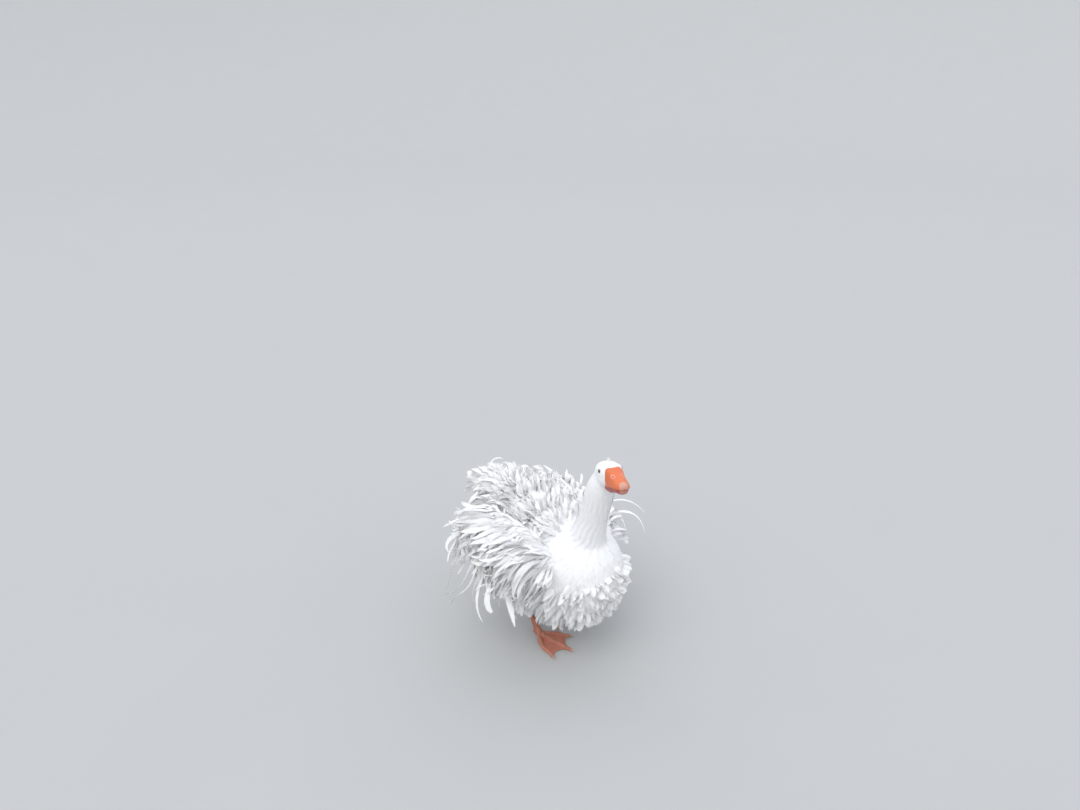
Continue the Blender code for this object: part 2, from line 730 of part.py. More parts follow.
def wing_place(side, along, high):
    """(point, normal) on the wing's outer face for shares -1 to 1 of its half length and half height."""
    out, half, tall = WING_HALF_SIZE
    depth = math.sqrt(max(0.02, 1.0 - along**2 - high**2))
    local = Vector((side * out * depth, along * half, high * tall))
    normal = Vector((local.x / out**2, local.y / half**2, local.z / tall**2)).normalized()
    frame = wing_frame(side)
    return frame @ local, (frame.to_3x3() @ normal).normalized()


def tail_frame():
    return Matrix.Translation(TAIL_CENTRE) @ Matrix.Rotation(TAIL_TILT, 4, "X")


def tail_shape():
    frame, rings = tail_frame(), []
    wide, half, high = TAIL_HALF_SIZE
    for ring in range(1, TAIL_RINGS):
        phi = math.pi * ring / TAIL_RINGS
        flat = egg_ring(phi, TAIL_SIDES, wide, high, high, 0.8)
        rings.append([frame @ Vector((x, -math.cos(phi) * half, up)) for x, up in flat])
    return loft(rings, frame @ Vector((0, -half, 0)), frame @ Vector((0, half, 0)))


def tail_place(across, high):
    wide, half, tall = TAIL_HALF_SIZE
    depth = math.sqrt(max(0.02, 1.0 - across**2 - high**2))
    local = Vector((across * wide, depth * half, high * tall))
    normal = Vector((local.x / wide**2, local.y / half**2, local.z / tall**2)).normalized()
    frame = tail_frame()
    return frame @ local, (frame.to_3x3() @ normal).normalized()


# Legs and feet.


def ankle(side_name):
    return Vector((SIDES[side_name] * ANKLE_X, ANKLE_Y[side_name], ANKLE_Z))


def mirrored(side_name, shift):
    return Vector((SIDES[side_name] * shift[0], shift[1], shift[2]))


def hock(side_name):
    return ankle(side_name) + mirrored(side_name, HOCK_SHIFT)


def straight(a, b):
    return (a, a.lerp(b, 1 / 3), a.lerp(b, 2 / 3), b)


def thigh_controls(side_name):
    top = ankle(side_name) + mirrored(side_name, HOCK_SHIFT) + mirrored(side_name, THIGH_TOP_SHIFT)
    low = hock(side_name)
    bulge = Vector((0, -THIGH_BULGE, 0))
    return (top, top.lerp(low, 0.35) + bulge, top.lerp(low, 0.70) + bulge * 0.6, low)


def thigh_radius(t):
    swell = THIGH_SWELL * math.sin(math.pi * min(1.0, t + 0.30)) ** 0.8
    return THIGH_HOCK_RADIUS + (THIGH_TOP_RADIUS - THIGH_HOCK_RADIUS) * (1.0 - t) ** THIGH_TAPER_POWER + swell


def shank_radius(t):
    return SHANK_RADIUS * (1.0 + 0.35 * abs(2.0 * t - 1.0) ** 3)


def toe_way(side_name, spread):
    """The level heading of a toe. A positive spread turns it to the inner side."""
    turn = -SIDES[side_name] * (spread + TOE_IN)
    return Vector((math.sin(turn), -math.cos(turn), 0.0))


def toe_point(side_name, toe, s):
    """A point on the floor under a toe, s of the way to its tip. The side toes bow away from the middle."""
    root, way = ankle(side_name), toe_way(side_name, toe.spread)
    outward = Vector((SIDES[side_name], 0.0, 0.0))
    outward = (outward - way * outward.dot(way)).normalized()
    bowed = outward * (toe.bow * math.sin(math.pi * s) ** 2)
    return Vector((root.x, root.y, 0.0)) + way * (toe.length * s) + bowed


def toe_tip(side_name, toe):
    return toe_point(side_name, toe, 1.0)


def toe_rings(side_name, toe, start_z):
    """A toe from the ankle to its tip, flat under the sole, with three soft joints."""
    across = toe_way(side_name, toe.spread).cross(UP)
    rings, count = [], 9
    for ring in range(count):
        s = ring / (count - 1)
        joints = 1.0 + TOE_JOINT_SWELL * math.cos(6.0 * math.pi * s)
        radius = toe.root_radius * (1.0 - (1.0 - TOE_TIP_SHARE) * s) * joints
        middle_z = radius * TOE_FLATNESS + (start_z - radius) * max(0.0, 1.0 - 3.2 * s) ** 2
        at = toe_point(side_name, toe, s) + UP * middle_z
        points = []
        for corner in range(TOE_SIDES):
            angle = 2.0 * math.pi * (corner + 0.5) / TOE_SIDES
            point = at + across * (radius * math.cos(angle)) + UP * (radius * math.sin(angle))
            point.z = max(point.z, 0.0)
            points.append(point)
        rings.append(points)
    return rings


def web_outline(side_name):
    """The web between the front toes, hollowed between their tips."""
    root = ankle(side_name)
    base = Vector((root.x, root.y, 0.0))
    outer, middle, inner = FRONT_TOES
    points = [base - toe_way(side_name, 0.0) * 0.004]
    points += [toe_point(side_name, outer, s) for s in (0.3, 0.5, 0.7, WEB_REACH)]
    for first, second in ((outer, middle), (middle, inner)):
        a, b = (toe_point(side_name, toe, WEB_REACH) for toe in (first, second))
        for number in range(1, 8):
            t = number / 8
            points.append(a.lerp(b, t).lerp(base, WEB_HOLLOW * 4.0 * t * (1.0 - t)))
        points.append(b)
    points += [toe_point(side_name, inner, s) for s in (0.7, 0.5, 0.3)]
    return points


def foot(side_name, collection, cutters):
    """Toes, web and ankle of one foot, joined."""
    root = ankle(side_name)
    outline = web_outline(side_name)
    low = [Vector((p.x, p.y, WEB_BOTTOM_Z)) for p in outline]
    high = [Vector((p.x, p.y, WEB_TOP_Z)) for p in outline]
    name = "foot_" + side_name
    base = object_from(name, *loft([low, high]), "leg", collection)
    pieces = new_collection(name + "_pieces")
    for toe in (*FRONT_TOES, HIND_TOE):
        start_z = ANKLE_Z if toe is not HIND_TOE else HIND_TOE_START_Z
        rings = toe_rings(side_name, toe, start_z)
        object_from(f"{name}_{toe.name}", *loft(rings), "leg", pieces)
    lean = (hock(side_name) - root).normalized()
    bottom, top = root - lean * ANKLE_BASE, root + lean * (ANKLE_HEIGHT - ANKLE_BASE)
    rings = tube_rings(straight(bottom, top), lambda t: ANKLE_RADIUS * (1.0 - 0.19 * t), 4, 12)
    object_from(name + "_ankle", *loft(rings), "leg", pieces)
    join_pieces(base, pieces)
    bpy.data.collections.remove(pieces)
    above = straight(root + lean * ANKLE_TOP, root + lean * (ANKLE_TOP + ANKLE_HEIGHT))
    rings = tube_rings(above, lambda t: ANKLE_CUT_RADIUS, 3, 12)
    cut_away(base, [as_cutter(object_from(name + "_top", *loft(rings), "leg", collection), cutters)])
    return base


def claw(side_name, toe, collection):
    """A blunt hooked nail in front of a toe's tip, resting on the floor."""
    way = toe_way(side_name, toe.spread)
    across = way.cross(UP)
    start = toe_tip(side_name, toe) + way * GAP
    rings, count = [], 5
    share = HIND_CLAW_SHARE if toe is HIND_TOE else 1.0
    length, wide = CLAW_LENGTH * share, CLAW_RADIUS * share
    for ring in range(count):
        s = ring / (count - 1)
        r = wide * (1.0 - CLAW_TAPER * s)
        at = start + way * (length * s) + UP * (wide * 0.9 * (1.0 - s) + 0.0006)
        points = []
        for corner in range(8):
            angle = 2.0 * math.pi * corner / 8 + math.pi / 8
            point = at + across * (r * 0.8 * math.cos(angle)) + UP * (r * math.sin(angle))
            point.z = max(point.z, 0.0)
            points.append(point)
        rings.append(points)
    return object_from(f"claw_{side_name}_{toe.name}", *loft(rings), "claw", collection)


def build_leg(side_name, parts, cutters, trunk_cutter):
    """Thigh, shank, foot and claws of one side. The shank's top sits in a socket of the thigh."""
    root, knee = ankle(side_name), hock(side_name)
    lean = (knee - root).normalized()
    low, high = root + lean * (ANKLE_TOP + GAP), knee + lean * HOCK_SEAT
    rings = tube_rings(straight(low, high), shank_radius, 7, 12)
    object_from("shank_" + side_name, *loft(rings), "leg", parts)
    rings = tube_rings(straight(low, high + lean * GAP), lambda t: shank_radius(t) + GAP, 7, 12)
    socket = as_cutter(object_from("hock_" + side_name, *loft(rings), "leg", parts), cutters)
    rings = tube_rings(thigh_controls(side_name), thigh_radius, 8, 14)
    thigh = object_from("thigh_" + side_name, *loft(rings), "feather", parts)
    cut_away(thigh, [trunk_cutter, socket])
    foot(side_name, parts, cutters)
    for toe in (*FRONT_TOES, HIND_TOE):
        claw(side_name, toe, parts)


def build_eye(name, side, head, parts, cutters):
    hollow = sphere(name + "_hollow", eye_middle(side), EYE_RADIUS + GAP, "eye", parts)
    cut_away(head, [as_cutter(hollow, cutters)])
    sphere(name, eye_middle(side), EYE_RADIUS, "eye", parts)


def nostril_cutter(side, parts, cutters):
    x, y, z = NOSTRIL_PLACE
    hollow = sphere(f"nostril_{side:+.0f}", Vector((0, 0, 0)), 1.0, "bill", parts)
    place = Matrix.Translation((side * x, y, z)) @ Matrix.Diagonal((*NOSTRIL_HALF_SIZE, 1.0))
    hollow.matrix_world = head_frame() @ place
    return as_cutter(hollow, cutters)


def build_head(parts, cutters):
    """Head with lids and eyes, and the bill in two halves with nostrils. Gives the head's cutter."""
    head = object_from("head", *head_shape(), "feather", parts)
    head_cutter = as_cutter(object_from("head_cutter", *head_shape(GAP), "feather", parts), cutters)
    lids = new_collection("lids")
    for name, side in SIDES.items():
        lid_ring("lid_" + name, side, lids)
    join_pieces(head, lids)
    bpy.data.collections.remove(lids)
    for name, side in SIDES.items():
        build_eye("eye_" + name, side, head, parts, cutters)
    upper = object_from("bill_upper", *bill_shape(True), "bill", parts)
    lower = object_from("bill_lower", *bill_shape(False), "bill", parts)
    cut_away(upper, [head_cutter] + [nostril_cutter(side, parts, cutters) for side in SIDES.values()])
    cut_away(lower, [head_cutter])
    return head_cutter


def build_neck(parts, trunk_cutter, head_cutter):
    rings = tube_rings(NECK_CONTROLS, neck_radius, NECK_RINGS, NECK_SIDES)
    neck = object_from("neck", *loft(rings), "feather", parts)
    cut_away(neck, [trunk_cutter, head_cutter])


def build_wing(name, side, parts, cutters, trunk_cutter):
    """The wing's pad, trimmed to the trunk, and the thigh below it trimmed to the pad."""
    wing = object_from("wing_" + name, *wing_shape(side), "feather", parts)
    cut_away(wing, [trunk_cutter])
    pad = as_cutter(object_from("wing_cutter_" + name, *wing_shape(side, GAP), "feather", parts), cutters)
    cut_away(bpy.data.objects["thigh_" + name], [pad])


def build_tail(parts, trunk_cutter):
    tail = object_from("tail", *tail_shape(), "feather", parts)
    cut_away(tail, [trunk_cutter])


# Feather tracts on the pieces.


def places(tract, draw, jitter):
    """The places of a tract's feathers, evenly spaced from start to stop and then moved a little."""
    for number in range(tract.count):
        t = number / (tract.count - 1)
        yield tuple(a + (b - a) * t + draw.uniform(-j, j) for a, b, j in zip(tract.start, tract.stop, jitter))


def feather_wing(plumage, name, side, draw):
    for tract in WING_TRACTS:
        for along, high in places(tract, draw, (0.04, 0.06)):
            root, normal = wing_place(side, along, high)
            heading = mixed_heading(normal, tract.heading, draw.uniform(-0.15, 0.15))
            plumage.grow("wing_" + name, root, normal, heading, tract, draw)


def feather_tail(plumage, draw):
    for tract in TAIL_TRACTS:
        for across, high in places(tract, draw, (0.0, 0.05)):
            root, normal = tail_place(across, high)
            out, back, up = tract.heading
            heading = (Vector((across * TAIL_FAN, back, up)) + normal * out).normalized()
            plumage.grow("tail", root, UP, heading, tract, draw)


def feather_trunk(plumage, draw):
    for tract in TRUNK_TRACTS:
        for degrees, share in places(tract, draw, (3.0, 0.012)):
            root, normal = trunk_point(degrees, share), trunk_normal(degrees, share)
            heading = mixed_heading(normal, tract.heading, draw.uniform(-0.2, 0.2))
            plumage.grow("torso", root, normal, heading, tract, draw)


def feather_thigh(plumage, side_name, draw):
    controls = thigh_controls(side_name)
    for tract in THIGH_TRACTS:
        for degrees, share in places(tract, draw, (0.0, 0.03)):
            angle = math.radians(degrees)
            way = bezier_way(controls, share)
            across = (Vector((1, 0, 0)) - way * way.x).normalized()
            normal = across * math.cos(angle) + way.cross(across) * math.sin(angle)
            root = bezier(controls, share) + normal * thigh_radius(share)
            heading = mixed_heading(normal, tract.heading)
            plumage.grow("thigh_" + side_name, root, normal, heading, tract, draw)


def main():
    clear_scene()
    parts = new_collection("sebastopol_goose")
    cutters = new_collection("cutters")
    object_from("torso", *trunk_shape(), "feather", parts)
    trunk_cutter = as_cutter(object_from("trunk_cutter", *trunk_shape(GAP), "feather", parts), cutters)
    head_cutter = build_head(parts, cutters)
    build_neck(parts, trunk_cutter, head_cutter)
    for name, side in SIDES.items():
        build_leg(name, parts, cutters, trunk_cutter)
        build_wing(name, side, parts, cutters, trunk_cutter)
    build_tail(parts, trunk_cutter)

    bpy.context.view_layer.update()
    draw = random.Random(SEED)
    plumage = Plumage({obj.name: obj for obj in parts.objects})
    for name, side in SIDES.items():
        feather_wing(plumage, name, side, draw)
    feather_tail(plumage, draw)
    feather_trunk(plumage, draw)
    for name in SIDES:
        feather_thigh(plumage, name, draw)
    plumage.fuse()
    for obj in (*parts.objects, *cutters.objects):
        obj.location += Vector(STANCE)


main()
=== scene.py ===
"""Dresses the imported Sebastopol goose: skin, curled feathers, bill, eyes, scaled legs and a plain studio.

Everything is made in the goose's own frame, which faces -Y with its left side at +X and the floor at z = 0,
and is moved by STANCE when it becomes a mesh.
"""

import logging
import math
from dataclasses import dataclass
from enum import Enum

import bpy
import numpy as np
from bpy.types import Material, Node, NodeSocket, NodeTree, Object
from mathutils import Matrix, Vector, noise
from mathutils.bvhtree import BVHTree
from mathutils.kdtree import KDTree


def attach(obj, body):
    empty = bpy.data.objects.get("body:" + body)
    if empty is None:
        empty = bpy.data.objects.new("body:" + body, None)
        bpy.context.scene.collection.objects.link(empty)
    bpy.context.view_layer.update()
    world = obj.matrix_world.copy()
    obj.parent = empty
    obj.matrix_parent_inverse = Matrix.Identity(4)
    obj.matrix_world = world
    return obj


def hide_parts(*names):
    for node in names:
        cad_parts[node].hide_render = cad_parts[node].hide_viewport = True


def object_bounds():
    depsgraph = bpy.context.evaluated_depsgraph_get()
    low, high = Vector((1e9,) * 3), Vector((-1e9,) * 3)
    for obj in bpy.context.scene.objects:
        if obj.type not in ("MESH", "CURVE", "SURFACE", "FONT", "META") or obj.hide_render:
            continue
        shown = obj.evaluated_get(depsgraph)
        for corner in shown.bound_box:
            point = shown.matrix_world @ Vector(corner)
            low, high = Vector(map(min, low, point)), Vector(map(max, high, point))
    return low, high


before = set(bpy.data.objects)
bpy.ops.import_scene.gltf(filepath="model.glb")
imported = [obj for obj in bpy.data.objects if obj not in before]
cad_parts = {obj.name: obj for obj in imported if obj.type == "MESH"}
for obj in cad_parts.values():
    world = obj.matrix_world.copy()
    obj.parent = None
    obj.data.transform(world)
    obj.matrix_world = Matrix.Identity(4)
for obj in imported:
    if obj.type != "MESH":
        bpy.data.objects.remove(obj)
SOLID_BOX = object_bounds()
LOG = logging.getLogger("goose")

STANCE = np.array((-0.0113, -0.0055, 0.0))
UP = np.array((0.0, 0.0, 1.0))
SIDEWAYS = np.array((1.0, 0.0, 0.0))
SIDES = {"right": -1.0, "left": 1.0}
BAKE_MAP = "OFBake"
PATCH = 0.003
BOX_MARGIN = 0.014
FLOOR_MARGIN = 0.004

Array = np.ndarray
Colour = tuple[float, float, float]
Point = tuple[float, float, float]
Faces = list[tuple[int, ...]]
Form = tuple[Array, Faces]
Shared = dict[str, NodeTree]
Random = np.random.Generator


# Small vector helpers.


def unit(vectors: Array) -> Array:
    """Vectors along the last axis, made one long."""
    return vectors / np.maximum(np.linalg.norm(vectors, axis=-1, keepdims=True), 1e-12)


def turned(vectors: Array, axes: Array, angles: Array) -> Array:
    """Vectors turned round unit axes.

    Args:
        vectors: The vectors, one a row.
        axes: A unit axis for each.
        angles: An angle in radians for each.

    Returns:
        The turned vectors.
    """
    c, s = np.cos(angles)[..., None], np.sin(angles)[..., None]
    along = (vectors * axes).sum(-1, keepdims=True)
    return vectors * c + np.cross(axes, vectors) * s + axes * along * (1.0 - c)


def eased(values: Array, low: float, high: float) -> Array:
    """Values eased from 0 at low to 1 at high."""
    t = np.clip((values - low) / (high - low), 0.0, 1.0)
    return t * t * (3.0 - 2.0 * t)


def bell(values: Array, middle: float, width: float) -> Array:
    """A smooth bump that is 1 at the middle and has died away two widths off."""
    return np.exp(-(((values - middle) / width) ** 2))


def nearest_on(line: Array, points: Array) -> tuple[Array, Array]:
    """Which of a line's points is nearest to each point, and how far off it is."""
    far = np.linalg.norm(points[:, None] - line[None], axis=-1)
    at = far.argmin(1)
    return at, far[np.arange(len(points)), at]


def superellipse(angle: Array, width: Array, height: Array, power: float) -> tuple[Array, Array]:
    """Points of a rounded cross-section, as (sideways, upward)."""
    c, s = np.cos(angle), np.sin(angle)
    return np.sign(c) * np.abs(c) ** power * width, np.sign(s) * np.abs(s) ** power * height


def bezier(controls: Array, t: Array) -> Array:
    """Points of a cubic curve on four control points."""
    t = np.asarray(t)[..., None]
    u = 1.0 - t
    a, b, c, d = controls
    return a * u**3 + b * 3 * u * u * t + c * 3 * u * t * t + d * t**3


def bezier_way(controls: Array, t: Array) -> Array:
    """The heading of the curve at t."""
    t = np.asarray(t)
    return unit(bezier(controls, t + 0.01) - bezier(controls, t - 0.01))


def tube(places: Array, radii: Array, sides: int, side_way: Array, flat: float = 1.0) -> Array:
    """Rings of points round a line of places.

    Args:
        places: Points along the line.
        radii: A radius for each.
        sides: Points in a ring.
        side_way: A direction that each ring's first point leans to.
        flat: Height of a ring as a share of its width.

    Returns:
        An array of rings, points and coordinates.
    """
    ways = unit(np.gradient(places, axis=0))
    across = unit(side_way - ways * (ways @ side_way)[:, None])
    over = np.cross(ways, across)
    angles = 2.0 * math.pi * np.arange(sides) / sides
    ring = across[:, None] * np.cos(angles)[:, None] + over[:, None] * (flat * np.sin(angles)[:, None])
    return places[:, None] + ring * radii[:, None, None]


def bands(rings: int, sides: int) -> Faces:
    """Quads between rings of points that lie one after another."""
    faces = []
    for start in range(0, (rings - 1) * sides, sides):
        for side in range(sides):
            a, b = start + side, start + (side + 1) % sides
            faces.append((a, a + sides, b + sides, b))
    return faces


def closed_loft(rings: Array) -> Form:
    """Vertices and faces of a closed skin through rings, with a fan at each end."""
    count, sides = rings.shape[:2]
    verts = np.concatenate([rings.reshape(-1, 3), rings[0].mean(0)[None], rings[-1].mean(0)[None]])
    faces = bands(count, sides)
    first = count * sides
    last_ring = first - sides
    for side in range(sides):
        after = (side + 1) % sides
        faces += [(side, after, first), (last_ring + after, last_ring + side, first + 1)]
    return verts, faces


def joined(forms: list[Form]) -> Form:
    """Vertices and faces of several forms as one."""
    verts, faces, start = [], [], 0
    for points, parts in forms:
        verts.append(points)
        faces += [tuple(i + start for i in face) for face in parts]
        start += len(points)
    return np.concatenate(verts), faces


# Meshes.


def mesh_of(name: str, verts: Array, faces: list | Array, material: Material) -> Object:
    """A smooth mesh object in the scene, moved to the goose's stance.

    Args:
        name: The piece's name.
        verts: Its points in the goose's frame.
        faces: Its faces, as a list of index tuples or an array with four in a row.
        material: What it is made of.

    Returns:
        The new object.
    """
    mesh = bpy.data.meshes.new(name)
    placed = np.asarray(verts, dtype=np.float64) + STANCE
    if isinstance(faces, list):
        mesh.from_pydata(placed.tolist(), [], faces)
    else:
        mesh.vertices.add(len(placed))
        mesh.vertices.foreach_set("co", placed.astype(np.float32).ravel())
        mesh.loops.add(faces.size)
        mesh.loops.foreach_set("vertex_index", faces.astype(np.int32).ravel())
        mesh.polygons.add(len(faces))
        mesh.polygons.foreach_set("loop_start", np.arange(0, faces.size, faces.shape[1], dtype=np.int32))
        mesh.update(calc_edges=True)
    mesh.shade_smooth()
    mesh.materials.append(material)
    obj = bpy.data.objects.new(name, mesh)
    bpy.context.scene.collection.objects.link(obj)
    return obj


def set_values(obj: Object, name: str, values: Array) -> None:
    """Keeps one number for each vertex, which a material reads by name."""
    layer = obj.data.attributes.new(name, "FLOAT", "POINT")
    layer.data.foreach_set("value", np.asarray(values, dtype=np.float32).ravel())


def set_uv(obj: Object, name: str, places: Array) -> None:
    """Gives a mesh a UV map from a place for each vertex."""
    mesh = obj.data
    loops = np.empty(len(mesh.loops), dtype=np.int32)
    mesh.loops.foreach_get("vertex_index", loops)
    layer = mesh.uv_layers.new(name=name)
    layer.uv.foreach_set("vector", np.asarray(places, dtype=np.float32)[loops].ravel())


def unwrapped(obj: Object) -> None:
    """Unwraps a whole piece into a new UV map under the bake map's name."""
    obj.data.uv_layers.new(name=BAKE_MAP)
    bpy.ops.object.select_all(action="DESELECT")
    obj.select_set(True)
    bpy.context.view_layer.objects.active = obj
    bpy.ops.object.mode_set(mode="EDIT")
    bpy.ops.mesh.select_all(action="SELECT")
    bpy.ops.uv.smart_project(angle_limit=math.radians(66.0), island_margin=0.002)
    bpy.ops.object.mode_set(mode="OBJECT")
    obj.select_set(False)


def remeshed(obj: Object, voxel: float, rounds: int, factor: float = 0.5) -> None:
    """Fuses a piece's overlapping forms into one skin and softens the joins."""
    fuse = obj.modifiers.new("fuse", "REMESH")
    fuse.mode = "VOXEL"
    fuse.voxel_size = voxel
    fuse.use_smooth_shade = True
    soften = obj.modifiers.new("soften", "SMOOTH")
    soften.factor, soften.iterations = factor, rounds
    graph = bpy.context.evaluated_depsgraph_get()
    made = bpy.data.meshes.new_from_object(obj.evaluated_get(graph))
    obj.modifiers.clear()
    material = obj.data.materials[0]
    obj.data = made
    made.materials.clear()
    made.materials.append(material)
    made.shade_smooth()


def points_of(obj: Object) -> tuple[Array, Array]:
    """A mesh's points, in the goose's frame, and their normals."""
    mesh = obj.data
    count = len(mesh.vertices)
    places, normals = np.empty(count * 3), np.empty(count * 3)
    mesh.vertices.foreach_get("co", places)
    mesh.vertices.foreach_get("normal", normals)
    return places.reshape(-1, 3) - STANCE, normals.reshape(-1, 3)


def move_points(obj: Object, places: Array) -> None:
    """Puts a mesh's points at new places in the goose's frame."""
    obj.data.vertices.foreach_set("co", (places + STANCE).ravel())
    obj.data.update()


# Shader building.


class Nodes:
    """The nodes of one tree, with short calls to add and join them."""

    def __init__(self, tree: NodeTree) -> None:
        """Keeps the tree's nodes and links."""
        self.nodes, self.links = tree.nodes, tree.links

    def add(self, kind: str, **values: object) -> Node:
        """Adds a node. A value named with a leading capital goes to the socket of that name."""
        node = self.nodes.new(kind)
        for name, value in values.items():
            if name[0].isupper():
                node.inputs[name.replace("_", " ")].default_value = value
            else:
                setattr(node, name, value)
        return node

    def join(self, out: NodeSocket, into: NodeSocket) -> None:
        """Links two sockets."""
        self.links.new(out, into)

    def number(
        self, kind: str, first: NodeSocket, second: NodeSocket | float, clamp: bool = False
    ) -> NodeSocket:
        """A number worked out from two others."""
        node = self.add("ShaderNodeMath", operation=kind, use_clamp=clamp)
        self.join(first, node.inputs[0])
        if isinstance(second, float):
            node.inputs[1].default_value = second
        else:
            self.join(second, node.inputs[1])
        return node.outputs[0]

    def place(self) -> NodeSocket:
        """The place in the object's own space."""
        return self.add("ShaderNodeTexCoord").outputs["Object"]


class Group(Nodes):
    """A shader node group that materials share, with named numbers in and out."""

    def __init__(self, name: str, inputs: tuple[tuple[str, float], ...], outputs: tuple[str, ...]) -> None:
        """Starts the group with its sockets."""
        self.tree = bpy.data.node_groups.new(name, "ShaderNodeTree")
        super().__init__(self.tree)
        for label, value in inputs:
            socket = self.tree.interface.new_socket(name=label, in_out="INPUT", socket_type="NodeSocketFloat")
            socket.default_value = value
        for label in outputs:
            self.tree.interface.new_socket(name=label, in_out="OUTPUT", socket_type="NodeSocketFloat")
        self.given = self.nodes.new("NodeGroupInput")
        self.made = self.nodes.new("NodeGroupOutput")

    def read(self, label: str) -> NodeSocket:
        """A number that the group is given."""
        return self.given.outputs[label]

    def give(self, out: NodeSocket, label: str) -> None:
        """Hands a number on from the group."""
        self.join(out, self.made.inputs[label])


class Shader(Nodes):
    """A material that holds one Principled shader."""

    def __init__(self, name: str) -> None:
        """Starts the material."""
        self.material = bpy.data.materials.new(name)
        self.material.use_nodes = True
        super().__init__(self.material.node_tree)
        self.main = self.nodes["Principled BSDF"]

    def fix(self, **values: object) -> None:
        """Sets the shader's own sockets to constants."""
        for name, value in values.items():
            self.main.inputs[name.replace("_", " ")].default_value = value

    def feed(self, out: NodeSocket, label: str) -> None:
        """Feeds one of the shader's own sockets."""
        self.join(out, self.main.inputs[label])

    def group(self, tree: NodeTree, **values: object) -> Node:
        """Places a shared node group with its own values."""
        return self.add("ShaderNodeGroup", node_tree=tree, **values)

    def value(self, name: str) -> NodeSocket:
        """The number that the mesh keeps under a name."""
        return self.add("ShaderNodeAttribute", attribute_name=name).outputs["Fac"]

    def mix(self, share: NodeSocket, low: object, high: object) -> NodeSocket:
        """A colour between two colours or sockets."""
        node = self.add("ShaderNodeMix", data_type="RGBA")
        self.join(share, node.inputs["Factor"])
        for slot, colour in ((6, low), (7, high)):
            if isinstance(colour, tuple):
                node.inputs[slot].default_value = (*colour, 1.0)
            else:
                self.join(colour, node.inputs[slot])
        return node.outputs[2]

    def bump(self, height: NodeSocket, distance: float, strength: float = 1.0) -> None:
        """Feeds a height to the shader's normal."""
        node = self.add("ShaderNodeBump", Strength=strength, Distance=distance)
        self.join(height, node.inputs["Height"])
        self.feed(node.outputs["Normal"], "Normal")

    def ranged(self, source: NodeSocket, low: float, high: float) -> NodeSocket:
        """A number from 0 to 1 spread between two others."""
        node = self.add("ShaderNodeMapRange", To_Min=low, To_Max=high)
        self.join(source, node.inputs["Value"])
        return node.outputs["Result"]


def mottle_group() -> NodeTree:
    """A soft patchy mask from noise in the object's own space."""
    group = Group("soft_mottle", (("Scale", 40.0), ("Contrast", 0.5)), ("Mask",))
    grain = group.add("ShaderNodeTexNoise", Detail=4.0)
    group.join(group.place(), grain.inputs["Vector"])
    group.join(group.read("Scale"), grain.inputs["Scale"])
    spread = group.number("SUBTRACT", grain.outputs["Fac"], 0.5)
    gain = group.number("MULTIPLY", spread, group.read("Contrast"))
    group.give(group.number("ADD", gain, 0.5, clamp=True), "Mask")
    return group.tree


def cells_group() -> NodeTree:
    """Skin cells in the object's own space: a height that dips between cells, and a tone for each cell."""
    group = Group("skin_cells", (("Scale", 400.0), ("Width", 0.2)), ("Height", "Tone"))
    place = group.place()
    edge = group.add("ShaderNodeTexVoronoi", feature="DISTANCE_TO_EDGE")
    cell = group.add("ShaderNodeTexVoronoi")
    for voronoi in (edge, cell):
        group.join(place, voronoi.inputs["Vector"])
        group.join(group.read("Scale"), voronoi.inputs["Scale"])
    rise = group.add("ShaderNodeMapRange", interpolation_type="SMOOTHSTEP")
    group.join(edge.outputs["Distance"], rise.inputs["Value"])
    group.join(group.read("Width"), rise.inputs["From Max"])
    tone = group.add("ShaderNodeSeparateColor")
    group.join(cell.outputs["Color"], tone.inputs["Color"])
    group.give(rise.outputs["Result"], "Height")
    group.give(tone.outputs["Red"], "Tone")
    return group.tree


def barbs_group() -> NodeTree:
    """Fine barbs that slant out and forward from the shaft, from a place along and across the vane."""
    inputs = (("Place", 0.0), ("Side", 0.0), ("Tone", 0.0), ("Along", 70.0), ("Across", 16.0))
    group = Group("feather_barbs", inputs, ("Height",))
    out = group.number("ABSOLUTE", group.read("Side"), 0.0)
    slant = group.number("MULTIPLY", out, group.read("Across"))
    along = group.number("MULTIPLY", group.read("Place"), group.read("Along"))
    shift = group.number("MULTIPLY", group.read("Tone"), 90.0)
    place = group.number("ADD", group.number("SUBTRACT", along, slant), shift)
    grain = group.add("ShaderNodeTexNoise", noise_dimensions="1D", Scale=1.0, Detail=2.0)
    group.join(place, grain.inputs["W"])
    group.give(grain.outputs["Fac"], "Height")
    return group.tree


# Finishes.


